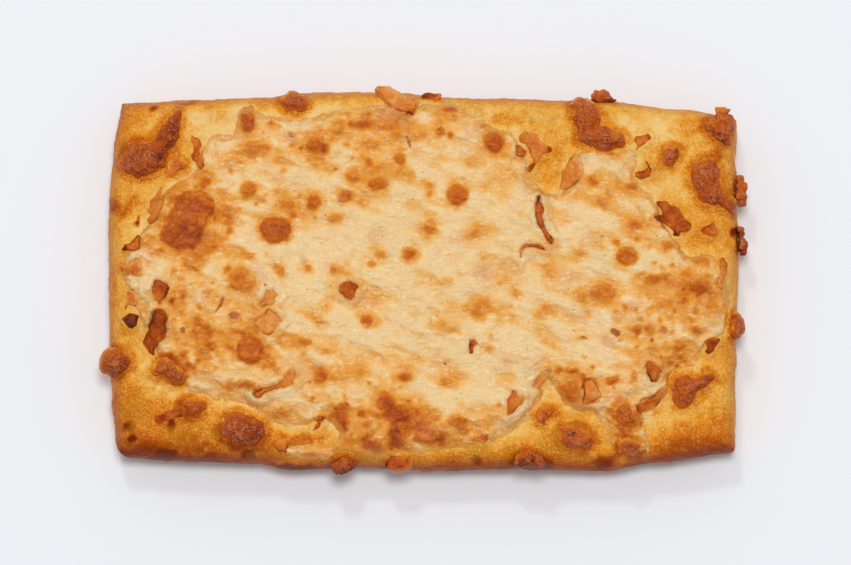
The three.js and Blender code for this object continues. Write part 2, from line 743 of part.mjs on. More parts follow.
// The points round a grid's border, counter-clockwise seen from above.
function border(nu, nv) {
  const ring = [];
  for (let i = 0; i < nu; i++) ring.push([i, 0]);
  for (let j = 0; j < nv; j++) ring.push([nu, j]);
  for (let i = nu; i > 0; i--) ring.push([i, nv]);
  for (let j = nv; j > 0; j--) ring.push([0, j]);
  return ring;
}

// The dough: a grid over the top, rows that roll down the edge and tuck in at the foot, and a flat base.
function doughSolid(grow) {
  const { along: nu, across: nv, rollRows, footRows } = doughGrid;
  const points = [];
  const faces = [];
  const inner = [1 - edge.roll / halfLength, 1 - edge.roll / halfWidth];
  const spread = 1 + grow / halfWidth;
  const at = (i, j) => j * (nu + 1) + i;
  for (let j = 0; j <= nv; j++) {
    for (let i = 0; i <= nu; i++) {
      const [x, y] = plan((2 * i) / nu - 1, (2 * j) / nv - 1);
      const px = x * inner[0];
      const py = y * inner[1];
      points.push([px * spread, py * spread, doughBase(px, py) + grow]);
    }
  }
  for (let j = 0; j < nv; j++) {
    for (let i = 0; i < nu; i++) {
      faces.push([at(i, j), at(i + 1, j), at(i + 1, j + 1)], [at(i, j), at(i + 1, j + 1), at(i, j + 1)]);
    }
  }
  const ring = border(nu, nv);
  let above = ring.map(([i, j]) => at(i, j));
  const addRow = (row) => {
    const start = points.length;
    points.push(...row);
    const below = row.map((_, k) => start + k);
    below.forEach((b, k) => {
      const next = (k + 1) % below.length;
      faces.push([above[k], b, below[next]], [above[k], below[next], above[next]]);
    });
    above = below;
  };
  const rowAt = (inset, height) => ring.map(([i, j]) => {
    const [x, y] = plan((2 * i) / nu - 1, (2 * j) / nv - 1);
    const px = x * (1 - inset / halfLength);
    const py = y * (1 - inset / halfWidth);
    return [px * spread, py * spread, height(x * inner[0], y * inner[1])];
  });
  for (let k = 1; k <= rollRows; k++) {
    const turn = radians((90 * k) / rollRows);
    const inset = edge.roll * (1 - Math.sin(turn));
    addRow(rowAt(inset, (x, y) => (
      edge.bulgeHeight + grow + (doughBase(x, y) - edge.bulgeHeight) * Math.cos(turn)
    )));
  }
  for (let k = 1; k <= footRows; k++) {
    const turn = radians((90 * k) / footRows);
    addRow(rowAt(edge.footInset * (1 - Math.cos(turn)), () => edge.bulgeHeight * (1 - Math.sin(turn))));
  }
  const foot = above.map((p) => new THREE.Vector2(points[p][0], points[p][1]));
  for (const [a, b, c] of THREE.ShapeUtils.triangulateShape(foot, [])) {
    faces.push([above[a], above[c], above[b]]);
  }
  return solid(points, faces);
}

// A tall block with the cheese's outline, to cut its relief with.
function cheeseBlock(grow) {
  const outline = cheeseOutline.map((point, i) => {
    const before = cheeseOutline.at(i - 1);
    const after = cheeseOutline[(i + 1) % cheeseOutline.length];
    const length = Math.hypot(after.x - before.x, after.y - before.y);
    return new THREE.Vector2(
      point.x - (grow * (after.y - before.y)) / length,
      point.y + (grow * (after.x - before.x)) / length,
    );
  });
  const tall = { depth: 2 * doughHeight, bevelEnabled: false };
  return asSolid(new THREE.ExtrudeGeometry(new THREE.Shape(outline), tall));
}

// The cheese: its relief over a grid, cut to the outline and lifted off the dough.
function cheeseSolid(grow, dough) {
  const { along: nu, across: nv } = cheeseGrid;
  const points = [];
  const faces = [];
  const count = (nu + 1) * (nv + 1);
  const foot = doughHeight / 3;
  for (const under of [false, true]) {
    for (let j = 0; j <= nv; j++) {
      for (let i = 0; i <= nu; i++) {
        const x = -halfLength + (2 * halfLength * i) / nu;
        const y = -halfWidth + (2 * halfWidth * j) / nv;
        points.push([x, y, under ? foot : cheeseTop(x, y) + grow]);
      }
    }
  }
  const at = (i, j) => j * (nu + 1) + i;
  for (let j = 0; j < nv; j++) {
    for (let i = 0; i < nu; i++) {
      const [a, b, c, d] = [at(i, j), at(i + 1, j), at(i + 1, j + 1), at(i, j + 1)];
      faces.push([a, b, c], [a, c, d]);
      faces.push([count + a, count + c, count + b], [count + a, count + d, count + c]);
    }
  }
  const ring = border(nu, nv).map(([i, j]) => at(i, j));
  ring.forEach((a, k) => {
    const b = ring[(k + 1) % ring.length];
    faces.push([a, count + a, count + b], [a, count + b, b]);
  });
  const cut = solid(points, faces).intersect(cheeseBlock(grow));
  return dough ? largest(cut.subtract(dough)) : cut;
}

// The body with the most volume, where a cut leaves scraps.
function largest(made) {
  return made.decompose().sort((a, b) => b.volume() - a.volume())[0];
}

// Each point of an outline: where it is, which way faces in, and half the piece's width that way.
function outlinePoints(outline, limit) {
  const shape = outline.map(([x, y]) => new THREE.Vector2(x, y));
  if (THREE.ShapeUtils.isClockWise(shape)) shape.reverse();
  const count = shape.length;
  const edgeNormals = shape.map((a, i) => {
    const way = shape[(i + 1) % count].clone().sub(a).normalize();
    return new THREE.Vector2(-way.y, way.x);
  });
  const ways = shape.map((_, i) => edgeNormals[i].clone().add(edgeNormals.at(i - 1)).normalize());
  const widths = shape.map((from, i) => {
    let nearest = 2 * limit;
    shape.forEach((a, k) => {
      const b = shape[(k + 1) % count];
      if (a === from || b === from) return;
      const across = b.clone().sub(a);
      const facing = ways[i].cross(across);
      const away = a.clone().sub(from);
      const far = away.cross(across) / facing;
      const share = away.cross(ways[i]) / facing;
      if (far > 0 && share >= 0 && share <= 1) nearest = Math.min(nearest, far);
    });
    return nearest / 2;
  });
  return shape.map((at, i) => {
    const around = (widths.at(i - 1) + widths[i] + widths[(i + 1) % count]) / 3;
    return { at, way: ways[i], half: Math.min(widths[i], around) };
  });
}

// A piece: an underside that tapers in, the widest ring, a shoulder and a cap.
function pieceSolid({ outline, rise, level, drop = 3 }, kind, grow) {
  const { limit, rings } = profiles[kind];
  const around = outlinePoints(outline, limit);
  const middle = around.reduce((sum, p) => sum.add(p.at), new THREE.Vector2()).divideScalar(around.length);
  const restLevel = surfaceAt(middle.x, middle.y);
  const base = (x, y) => {
    if (level) return level;
    const under = surfaceAt(x, y);
    return Math.max(under, (under + restLevel) / 2);
  };
  const points = [];
  const ring = (inset, height) => around.forEach(({ at, way, half }) => {
    const place = at.clone().addScaledVector(way, inset * half - grow);
    points.push([place.x, place.y, base(place.x, place.y) + height]);
  });
  ring(0.35, -drop - grow);
  rings.forEach(([inset, share]) => ring(inset, share * rise + (inset > 0 ? grow : 0)));
  const count = around.length;
  const last = rings.length * count;
  const faces = [];
  for (let row = 0; row < rings.length; row++) {
    for (let k = 0; k < count; k++) {
      const a = row * count + k;
      const b = row * count + ((k + 1) % count);
      faces.push([a, b, b + count], [a, b + count, a + count]);
    }
  }
  for (const [a, b, c] of THREE.ShapeUtils.triangulateShape(around.map((p) => p.at), [])) {
    faces.push([a, c, b], [last + a, last + b, last + c]);
  }
  return solid(points, faces);
}

const slice = new THREE.Group();
const fatDough = doughSolid(gap);
const fatCheese = cheeseSolid(gap, null);
slice.add(meshOf("dough_base", doughSolid(0), looks.dough));
slice.add(meshOf("cheese_sheet", cheeseSolid(0, fatDough), looks.cheese));

// Each piece is cut back from what it lies on, and from the pieces before it.
const fatPieces = [];
function place(name, make, look) {
  const made = [fatDough, fatCheese, ...fatPieces].reduce((left, other) => left.subtract(other), make(0));
  fatPieces.push(make(gap));
  slice.add(meshOf(name, largest(made), look));
}
crisps.forEach((piece) => place(piece.name, (grow) => pieceSolid(piece, "dome", grow), looks.crisp));
chicken.forEach((piece) => place(piece.name, (grow) => pieceSolid(piece, "slab", grow), looks.chicken));
peels.forEach((piece) => place(piece.name, (grow) => pieceSolid(piece, "slab", grow), looks.peel));

// The middle of the whole stands over the origin.
const extent = new THREE.Box3().setFromObject(slice);
const middle = extent.getCenter(new THREE.Vector3());
slice.position.set(-middle.x, -middle.y, -extent.min.z);

export default slice;
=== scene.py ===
# The looks of one oblong slice of chicken pizza: baked dough, melted cheese, diced chicken, dark peel and
# crisped cheese. Shapes are worked out in millimetres on the slice's own plan and turned into metres last.
import itertools
import math
import bpy
import bmesh
import numpy as np
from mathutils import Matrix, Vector, geometry


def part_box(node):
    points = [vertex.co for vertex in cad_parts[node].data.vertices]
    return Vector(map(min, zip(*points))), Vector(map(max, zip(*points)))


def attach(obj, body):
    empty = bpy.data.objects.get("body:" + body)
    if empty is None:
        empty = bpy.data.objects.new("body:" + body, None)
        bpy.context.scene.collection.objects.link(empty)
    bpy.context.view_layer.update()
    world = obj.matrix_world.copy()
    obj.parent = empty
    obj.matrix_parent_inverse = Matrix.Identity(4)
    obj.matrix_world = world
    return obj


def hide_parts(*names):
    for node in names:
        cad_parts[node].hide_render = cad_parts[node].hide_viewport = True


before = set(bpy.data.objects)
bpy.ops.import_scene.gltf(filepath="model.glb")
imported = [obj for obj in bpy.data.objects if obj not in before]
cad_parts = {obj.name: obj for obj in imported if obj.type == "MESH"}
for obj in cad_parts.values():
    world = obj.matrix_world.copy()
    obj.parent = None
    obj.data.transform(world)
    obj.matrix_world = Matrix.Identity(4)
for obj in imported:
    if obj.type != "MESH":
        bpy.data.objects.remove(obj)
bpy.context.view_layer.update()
mm = 0.001

dough = {
    "halfLength": 79,
    "halfWidth": 46,
    "height": 17.2,
    "roll": 4.6,  # how far in the edge starts to roll down
    "bulge": 8.6,  # height at which the side stands out furthest
    "foot": 1.6,  # how far the side tucks in at the base
    "corners": {"topLeft": 1.2, "topRight": 2.6, "bottomRight": 1.8, "bottomLeft": 4.2},
    "cells": (344, 204),
    "rollRows": 16,
    "footRows": 8,
    "rim": (0.7, 12),  # how much higher the rim is than the middle, and how far in it reaches
    "lumps": ((0.34, 5), (0.16, 1.5)),  # height and size of the unevenness on top
    "collar": {"crisp": (0.9, 2), "chicken": (0.8, 1.8)},  # how far it rises round what sits in it
    # the line of each side: place along it, how far out it stands
    "top": [
        (-76, 45.3), (-56, 46.2), (-40, 46.8), (-31, 48), (-11, 48.2), (10, 46.6), (44, 46), (64, 43.9),
        (78, 42),
    ],
    "bottom": [
        (-76, -43.8), (-56, -44.8), (-42, -45.2), (-33, -46.8), (-14, -46.2), (2, -47), (20, -46.6),
        (46, -47), (57, -45), (78, -42.6),
    ],
    "left": [(-44, -77), (-30, -78.1), (-17, -78.8), (0, -79), (20, -79.1), (34, -77.9), (45, -76)],
    "right": [(-43, 78), (-30, 77.9), (-10, 78.4), (8, 79), (20, 78.6), (32, 78.3), (42, 78.6)],
    "tone": 0.19,  # how brown it is where nothing adds to it
    # how brown each side is, and how far in the brown reaches: partly the crust's own bake, partly painted
    # shade that makes the bottom side darker and the top side paler
    "bake": {"top": (0.24, 6), "bottom": (0.66, 9), "left": (0.26, 10), "right": (0.18, 12)},
    # darker and lighter places: x, y, half length, half width, how much browner
    "patches": [
        (-78, 18.8, 1.8, 2, 0.3), (-75, 18.5, 2.6, 2, 0.22), (-72, 18, 4, 2.4, 0.16),
        (-68, 43.6, 1.1, 0.8, 0.6), (-58.5, 45, 3, 0.8, 0.3), (-72.8, -36.8, 1.1, 1.6, 0.5),
        (-72, -39.4, 1.4, 1, 0.6), (-64, -42.8, 3, 1.3, 0.42), (-43.5, -43.4, 2, 1.2, 0.4),
        (-31.8, -46.2, 4, 1, 0.34), (12.8, -44.8, 1.6, 1, 0.4), (45.5, -44.6, 3.2, 1.6, 0.36),
        (77.8, 12.6, 1.4, 1.2, 0.8), (64, -40, 14, 6, 0.04), (72, -40, 9, 9, 0.1), (44, -35, 14, 6, 0.08),
        (-60, 40, 10, 5, -0.1), (-70, 38, 9, 9, 0.12), (25, 42, 16, 5, -0.06), (58, 39, 10, 5, -0.04),
        (-47, 41, 4, 4, -0.12), (31, 27, 6, 5, 0.14), (74, 28, 2, 1.6, -0.2), (-75, -12, 3, 5, -0.06),
        (-40, 45, 10, 1.4, 0.06), (72, 35, 6, 7, 0.04), (66, 38.5, 5, 3, 0.14), (-73, 6, 3, 6, 0.12),
        (-72, 14.6, 0.9, 0.7, 0.7), (-71.8, 15.6, 0.5, 1, 0.6), (44.6, 21, 2, 1.6, 0.3),
        (20, 40.5, 6, 1.5, 0.18), (-75, -28, 2.5, 6, 0.1), (-66, -38, 16, 9, 0.24), (-30, -41, 24, 4, 0.12),
        (-31, -39.5, 5, 2, 0.24), (-54, -37, 8, 2.4, -0.04), (-63.5, -35.8, 1, 2.2, 0.5),
        (-31, -39.5, 4, 1.6, 0.1), (60, -33, 8, 3, -0.12), (56, 39, 14, 5, -0.12), (62, 22, 7, 5, -0.06),
        (68, 9.5, 4, 3, 0.08), (76, -5, 2.4, 5, -0.04), (-53, 38, 6, 4, -0.1), (-60, 45, 10, 1.6, 0.1),
        (20, 47, 30, 1.6, 0.06), (16, 42, 16, 3, -0.04),
    ],
    # oily amber places: x, y, half length, half width, how much
    "amber": [
        (-71, 30, 5, 4, 0.5), (-50, 41, 5, 2, 0.6), (-73, -10, 4, 8, 0.6), (-72, -33, 4, 6, 0.9),
        (-58, -38, 9, 3, 0.7), (-40, -42, 8, 2.5, 0.6), (-12, -45, 16, 1.6, 0.7), (18, -43, 10, 2.5, 0.8),
        (32, -40, 5, 4, 0.8), (45, 38, 4, 3, 0.35), (28, 41, 6, 2, 0.7), (12, 42, 4, 2, 0.7),
        (56, 26, 5, 5, 0.5), (64, 12, 5, 5, 0.5), (73, 16, 3, 7, 0.6), (28, 24, 3, 4, 0.5),
        (60, -29, 4, 2, 0.5), (50, -38, 3, 4, 0.6), (42, -36, 12, 6, 0.5), (60, -34, 5, 4, 0.4),
        (34, 30, 3, 7, 0.3),
    ],
}

cheese = {
    "rim": 0.6,  # thickness at its rounded edge
    "body": 2.6,  # added over the middle
    "taper": 6,
    "step": 0.33,  # mesh cell
    "reach": (78, 46.4),  # half length and half width of the mesh's grid
    "under": 1.5,  # how far the hidden underside lies in the dough
    "flow": -20,  # direction of the folds in degrees
    "crossFlow": 52,  # and of the fine strands here and there
    "folds": {"long": 2.8, "wide": 3.2, "high": 0.8},
    "domes": {"rise": 0.66, "most": 2.6, "ease": 2.2},  # how the browned places swell
    "halo": (0.36, 2.4),  # golden ring round a browned place: how strong, how wide
    "collar": (0.6, 2),  # how far it rises round crisped cheese
    "climb": 3.4,  # from how far it climbs the chicken's sides
    "edge": [
        (-75.2, 2.5), (-73.5, 8.5), (-69.5, 14), (-66.5, 20.5), (-62, 24.2), (-58.3, 26.5), (-56, 33),
        (-52, 36.5), (-48, 36.8), (-46.4, 42), (-43.8, 44.4), (-41.2, 42.2), (-33.5, 40.6), (-27, 41.2),
        (-20, 43), (-10, 44), (3, 44.5), (7.5, 44.8), (11, 42.2), (17, 38.8), (23, 36), (25.8, 30.5),
        (26.8, 25.2), (31, 21.8), (34.8, 23), (36.5, 29.8), (39.5, 32.6), (47, 32.8), (53, 32.8), (52.9, 26),
        (57, 20.8), (60.2, 14.8), (63, 10.5), (65.8, 6.2), (70.5, 6.8), (75.4, 3.6), (76, -2.5), (76.6, -11),
        (73.5, -14.2), (69.3, -17.5), (66.5, -21.6), (61.4, -24), (61, -28.4), (55, -30.4), (55, -36),
        (56, -42), (52, -44.2), (47.5, -43), (45.4, -36.5), (42, -33), (35.5, -31.4), (32, -25.8),
        (30.2, -25.5), (28.2, -32), (22, -37.5), (14, -40.8), (4, -42), (-4, -43.8), (-14, -43.7),
        (-18, -42.7), (-24, -44.4), (-31, -44.4), (-36.4, -42.5), (-33, -40.8), (-23, -40.6), (-21.4, -37.5),
        (-24, -35), (-31, -36.3), (-38, -35), (-44.2, -31), (-52, -29.4), (-60, -27.4), (-67.4, -23.6),
        (-67.2, -17.5), (-70.8, -9.8), (-74, -3),
    ],
    # browned places: x, y, half length, half width, how dark, and a turn in degrees where there is one
    "blisters": [
        (-57, 18.5, 5, 4.2, 0.87), (-60.4, 11.6, 5.3, 3.7, 0.9), (-58.8, 15.2, 4.8, 4.4, 0.87),
        (-54.8, 24.2, 1.3, 2.2, 0.7, -20), (-44, 40.2, 2, 3.8, 0.85), (-42.5, 33, 3.3, 2.3, 0.5),
        (-26.8, 34, 2.5, 2.8, 0.64, -20), (-13, 34.2, 2.5, 1.5, 0.45), (-36, 30.5, 2.5, 1.5, 0.4),
        (-35, 27.8, 1, 1, 0.45), (-18, 26.5, 2.3, 2.8, 0.5), (-11.5, 24.2, 2.8, 2, 0.75),
        (-21.8, 38.5, 2.5, 3, 0.5), (-14.5, 39.5, 3, 1.3, 0.6), (-9.2, 38.5, 2.5, 1, 0.5),
        (-22.2, 28, 0.9, 0.5, 0.6), (-26, 42.2, 0.6, 0.6, 1), (-37.8, 39.5, 0.8, 0.8, 0.6),
        (-6, 30.2, 2, 2, 0.7), (-9.8, 27.5, 6.3, 3, 0.42), (6.5, 43.2, 2.8, 1.5, 0.7),
        (4, 37.2, 1.8, 1.3, 0.65), (17.5, 34.8, 3, 2.5, 0.85, -20), (-1, 36.2, 2.5, 1.5, 0.45),
        (12, 30.2, 2.3, 1.5, 0.4), (1.5, 24, 1, 1, 0.45), (8.2, 21.5, 2.8, 2.8, 0.82),
        (42, 25, 1.8, 1.8, 0.65), (47.2, 30.5, 1, 1, 0.3), (52, 23.8, 2.3, 1.3, 0.5),
        (-56, 5, 3.5, 2.3, 0.5, 40), (-49.8, 16.8, 3.5, 4, 0.5), (-43.5, 22.8, 2.5, 2.3, 0.75),
        (-40.5, 20.5, 2.5, 1, 0.5, -30), (-45.5, 0, 3.6, 3.2, 0.7), (-43.5, 6.5, 1.5, 1, 0.5),
        (-60.8, 0.2, 1.8, 1, 0.45), (-69, 9.2, 1, 1.3, 0.4), (-37, 12.8, 4, 3.5, 0.86),
        (-27, 19.8, 2, 2.3, 0.7), (-22, 15.8, 2.3, 2, 0.5), (-34, 19, 2.8, 1.5, 0.45, -25),
        (-19.8, 21, 2.3, 2, 0.6), (-16, 19.8, 1.2, 1, 0.4), (-39, 6.5, 0.6, 0.6, 0.5),
        (-36, 3, 1.3, 2.5, 0.6, 35), (-29, 2.8, 1.3, 1.3, 0.5), (-22.5, 2.8, 1.3, 1.3, 0.55),
        (-10.8, 6.5, 2, 1.5, 0.5), (-13, 4.2, 1.8, 1, 0.6), (1.5, 13.5, 2.3, 2.5, 0.5),
        (-3.8, 6.5, 2.1, 2.1, 0.65), (12.8, 11.8, 2.3, 1.3, 0.5, 20), (5.8, 0.2, 2.5, 1.5, 0.4),
        (14.5, 5.8, 0.8, 0.8, 0.4), (24, 16.8, 1, 1, 0.35), (19.2, -0.2, 1, 1, 0.4),
        (23, -2.5, 1.3, 1.5, 0.4), (44.5, 20, 2, 1.8, 0.45), (52.2, 14, 2.5, 1.5, 0.6),
        (50.5, 6, 3, 2.5, 0.78), (44.2, 8, 2, 1, 0.45), (38.8, 7, 2, 1.8, 0.4), (37.5, 21, 1.3, 1.3, 0.35),
        (60.8, 8.8, 2.5, 1.5, 0.55), (57, 0.2, 3, 1.5, 0.6), (44.8, -3, 3.6, 2.8, 0.65),
        (31.2, 1.5, 1, 2, 0.4), (68.8, 5.2, 3, 2.3, 0.5), (65.5, 2.5, 1.5, 1.5, 0.45),
        (68.8, -1.8, 3, 2.3, 0.7), (-54.5, -13.8, 2.3, 5.5, 0.55), (-43.2, -17.2, 3.3, 3.8, 0.88),
        (-61.8, -5, 2.5, 1.5, 0.4), (-61.5, -17.5, 2.3, 1.3, 0.45), (-53, -22, 3, 1.8, 0.4),
        (-56, -9.8, 2, 2, 0.6), (-29.8, -15, 2, 1.3, 0.6), (-26.2, -9.8, 1.8, 1.5, 0.4),
        (-24.2, -6, 1, 1, 0.35), (-14.2, -10.2, 1.8, 1.8, 0.75), (-24.8, -17.5, 1.5, 0.8, 0.5),
        (-25.5, -23.5, 2, 2.5, 0.65), (-21.8, -24, 3, 2, 0.4), (-15.8, -22.8, 1.3, 1.3, 0.45),
        (-38, -19.8, 1.3, 2.3, 0.5, 35), (6.2, -11, 4, 2.5, 0.45), (13.5, -7.5, 2.3, 2.5, 0.5),
        (-4.8, -24, 2.3, 1.8, 0.65), (5.8, -25.2, 2.5, 1.5, 0.5), (16.8, -13.8, 1, 1, 0.45),
        (16, -16.5, 1, 1, 0.45), (-3, -8.2, 1, 1, 0.3), (19, -9.5, 0.8, 0.8, 0.35),
        (22.2, -9, 0.8, 0.8, 0.35), (39.2, -4.2, 1.5, 1.5, 0.5), (29.8, -7.5, 2.3, 2.5, 0.45),
        (40.8, -7.8, 1.3, 1.3, 0.4), (53.2, -12.2, 1.8, 1.5, 0.6), (56.3, -12.2, 1.5, 1.8, 0.5),
        (52.2, -23.8, 1.3, 2, 0.6), (46.8, -25, 2.5, 1.5, 0.75), (37.2, -22.8, 1.5, 0.8, 0.6),
        (39, -14, 0.8, 0.4, 0.7), (71.8, -7.5, 3, 1.8, 0.5), (67.5, -12, 2, 1.3, 0.55),
        (66, -9.5, 1.2, 1, 0.45), (63.5, -16, 2.3, 1.5, 0.6), (58.5, -6.5, 1.2, 1, 0.4),
        (64, -5.2, 2.3, 1.3, 0.4), (61.2, -20.5, 1.3, 0.8, 0.55), (64.2, -18.8, 1, 1, 0.5),
        (-9.5, -30.5, 2.5, 2.5, 0.72), (-5.5, -32.8, 2.3, 2.3, 0.65), (-20, -35.8, 2.3, 2, 0.65),
        (-12.2, -40.5, 2.3, 1.8, 0.7), (-19.8, -31.5, 2.5, 1.3, 0.45), (-13, -34, 2, 2.5, 0.45),
        (-21, -38.8, 1.5, 0.8, 0.5), (-36.2, -33, 3, 2.3, 0.45), (-28.2, -43.8, 3, 1.5, 0.6),
        (0.5, -38.8, 3.3, 2.3, 0.8, -20), (3.2, -33, 1.8, 1.8, 0.45), (8.2, -35, 2.8, 2.3, 0.65),
        (17.2, -33, 2, 1.5, 0.4), (-6, -39.8, 3, 3, 0.35), (36.2, -28, 3.4, 2.9, 0.7),
    ],
    # broad golden zones, in the same order: how golden, and the turn
    "golden": [
        (-12, -36, 15, 7, 0.46), (4, -38, 9, 5, 0.38), (-4, 40, 14, 3.4, 0.3), (-62, 20, 6, 5, 0.3),
        (70, -2, 5, 9, 0.22), (-46, -15, 9, 8, 0.34), (-56, -20, 8, 4, 0.36), (40, -24, 8, 4, 0.28),
        (-57, 14, 11, 13, 0.34, 20), (-42, 31, 7, 6, 0.2), (-27, 34, 8, 6, 0.24, -20),
        (-16, 28, 9, 5, 0.24, 10), (-12, 38, 12, 4, 0.24), (4, 39, 8, 4, 0.2), (-35, 19, 9, 4, 0.16, -15),
        (8, 24, 6, 6, 0.14, 40), (46, 22, 10, 5, 0.2, 10), (52, 12, 8, 6, 0.2), (66, -3, 10, 11, 0.26),
        (56, -12, 9, 8, 0.22), (62, -18, 7, 5, 0.28, 20), (46, -26, 10, 5, 0.2, -10), (36, -28, 6, 5, 0.22),
        (-8, -34, 15, 8, 0.28, -10), (-20, -37, 7, 5, 0.26), (8, -35, 9, 5, 0.22, 10),
        (-52, -16, 12, 9, 0.3, -20), (-62, -4, 5, 6, 0.26), (-16, -40, 10, 4, 0.42),
        (-47, -26, 7, 1.4, 0.45, -8), (34, -29, 4, 3, 0.3), (-36, -34, 8, 3, 0.24, -10),
        (-27, -22, 7, 4, 0.16), (50, -40, 4, 4, 0.26),
    ],
    # chicken that shows pink through the cheese: how much, and the turn
    "pinks": [
        (-9.5, 42.4, 4, 2.6, 1, -20), (-14, 44, 3, 1.4, 0.6), (20, -21, 2, 1.4, 0.5), (-24, 3.4, 2, 1.4, 0.5),
        (-33.2, 35.8, 2, 1.3, 1), (-12, 11.2, 2.3, 1.8, 0.7), (9, 10.5, 2.3, 2.3, 0.6),
        (14.8, 2, 3, 2.5, 0.8), (35.5, 1, 3.5, 2.5, 0.6), (-47.2, -9, 1.5, 1.5, 1), (4, -19.5, 2.3, 1.8, 0.5),
        (52.5, -6, 2, 1.3, 0.7), (-48.5, 28.5, 2.2, 2, 0.6), (-56, -4, 4, 2.5, 0.4), (-31, -21, 5, 3, 0.35),
        (46, -15.6, 1.6, 2.4, 0.9, 30), (-16, -5, 4, 1.4, 0.45), (-44.5, -3.5, 2.4, 1.2, 0.5),
        (0, -36, 3, 2, 0.4), (49, -28.5, 3, 1.8, 0.5), (40, -30, 3, 2, 0.5), (-68, 6, 2.4, 3, 0.5),
        (-41, 2, 3, 2, 0.5, -40), (-60, -28.5, 5, 1.6, 0.6, -12), (2, -37.5, 4, 1.6, 0.5, 20),
        (41, 10, 3, 2.4, 0.6), (12, 38, 2, 2, 0.4),
    ],
    # thin olive-grey places: how much, and the turn
    "veils": [
        (21.6, 3.2, 3.4, 1.8, 0.9, -10), (-5, 39.9, 1.6, 1.6, 1), (-5.9, 35.2, 1.3, 1.1, 0.8),
        (56.6, -17.8, 1.1, 1.1, 1), (48.2, -9, 1.2, 1.5, 0.9), (36, 24, 4, 2, 0.4),
        (20, -19, 5, 1.6, 0.5, -20), (-46.5, -25.8, 6, 1.2, 0.5, -8), (60, -1, 3, 2, 0.3),
        (40, -9, 5, 3, 0.4), (52, -9, 3, 2, 0.5), (-43, -6, 3, 2, 0.35), (-39, -27, 4, 2, 0.4),
        (26, -22, 3, 2, 0.5, 30), (12, 33, 3, 5, 0.35), (-36.6, 25.6, 3, 2, 0.3), (48.8, -15, 0.6, 0.6, 1),
    ],
    # dark red scraps of meat in it: how much, and the turn
    "scraps": [
        (47.6, -12.8, 1.5, 1, 0.9, -35), (-47.3, -8.7, 1.3, 1, 0.7, 20), (-60, -12.5, 0.7, 0.8, 1),
        (-63.5, -12, 2.4, 1.2, 0.5), (-3.8, 34.6, 0.5, 1.6, 0.9, 18), (4.2, 37.8, 1.1, 0.7, 0.7),
        (14.6, 38.6, 1.5, 0.6, 0.6, 25), (5.1, -20.7, 0.7, 0.4, 0.9), (40, -14.3, 1, 0.35, 0.9, -15),
        (37.5, -12.8, 1.3, 0.3, 0.6, -45), (56.7, -14.9, 0.6, 0.6, 0.9), (53.4, -8, 1.2, 0.8, 0.5, -50),
        (-39.5, -1.2, 0.5, 0.4, 0.8), (-32.9, 36.4, 1.2, 0.9, 0.6, -30), (-58, -1, 0.4, 0.4, 0.7),
        (28.6, -19.3, 0.8, 0.5, 0.5), (8.5, -36.6, 1.2, 0.5, 0.6, -10), (-24.7, -24.3, 1, 0.5, 0.5),
    ],
    # thin dark creases: from x, y to x, y, half width
    "creases": [
        (-49.7, -4, -51.7, -8, 0.45), (-46, 43.4, -43.8, 44.6, 0.4), (-43.8, 44.6, -41.8, 43, 0.4),
        (60, -28, 64.6, -26.4, 0.3),
    ],
}


def smooth(share):
    share = np.clip(share, 0, 1)
    return share * share * (3 - 2 * share)


def lattice(cells, seed):  # a steady random value from -1 to 1 for each whole-number cell
    primes = np.array([73856093, 19349663, 83492791])[: cells.shape[-1]]
    mixed = (cells.astype(np.int64) * primes).sum(-1) + seed * 7919
    for shift in (15, 12, 17):
        mixed = ((mixed ^ (mixed >> shift)) * 1274126177) & 0xFFFFFFFF
    return mixed / 2**31 - 1


def waves(points, size, seed):  # soft noise from -1 to 1 with features of one size
    place = points / size
    cell = np.floor(place)
    share = place - cell
    share = share**3 * (share * (share * 6 - 15) + 10)
    total = 0
    for corner in itertools.product((0, 1), repeat=points.shape[-1]):
        weight = np.prod(np.where(corner, share, 1 - share), -1)
        total = total + weight * lattice(cell + corner, seed)
    return total


def rough(points, size, seed, layers=3):  # soft noise with finer noise laid over it
    strengths = [0.55**k for k in range(layers)]
    total = sum(s * waves(points, size / 2**k, seed + 31 * k) for k, s in enumerate(strengths))
    return total / sum(strengths)


def pillow(points, size, seed):  # round lumps with sharp creases between them, about -0.3 to 0.6
    return 1.6 * np.abs(rough(points, size, seed, 2)) - 0.3


def shifted(points, amount, size, seed):  # the points pushed about, so that what is read there looks torn
    flat = points[:, :2]
    return flat + amount * np.stack([rough(flat, size, seed, 2), rough(flat, size, seed + 7, 2)], -1)


def turned(x, y, degrees, long, wide):  # a place as its shares of a turned length and width
    c, s = math.cos(math.radians(degrees)), math.sin(math.radians(degrees))
    return (x * c + y * s) / long, (y * c - x * s) / wide


def dots(points, cell, share, seed):  # 1 in the middle of scattered round dots, 0 outside them
    home = np.floor(points / cell)
    best = np.zeros(len(points))
    axes = range(points.shape[-1])
    for step in itertools.product((-1, 0, 1), repeat=len(axes)):
        square = home + step
        middle = square + 0.5 + 0.34 * np.stack([lattice(square, seed + k) for k in axes], -1)
        size = 0.5 + 0.5 * lattice(square, seed + 9)
        radius = np.where(size < share, 0.16 + 0.3 * size / share, 1e-6)
        away = np.linalg.norm(points / cell - middle, axis=-1) / radius
        best = np.maximum(best, smooth(1.3 - away))
    return best


def inEllipse(points, x, y, long, wide, turn=0.0):  # 0 in the middle, 1 on the rim
    return np.hypot(*turned(points[..., 0] - x, points[..., 1] - y, turn, long, wide))


def within(points, x, y, reach):  # which points lie in the square round a place
    return (np.abs(points[:, 0] - x) < reach) & (np.abs(points[:, 1] - y) < reach)


def alongSide(side, s):  # how far a side stands out, read at s
    places, reach = np.array(dough[side], float).T
    s = np.clip(s, places[0], places[-1])
    i = np.clip(np.searchsorted(places, s) - 1, 0, len(places) - 2)
    return reach[i] + (reach[i + 1] - reach[i]) * smooth((s - places[i]) / (places[i + 1] - places[i]))


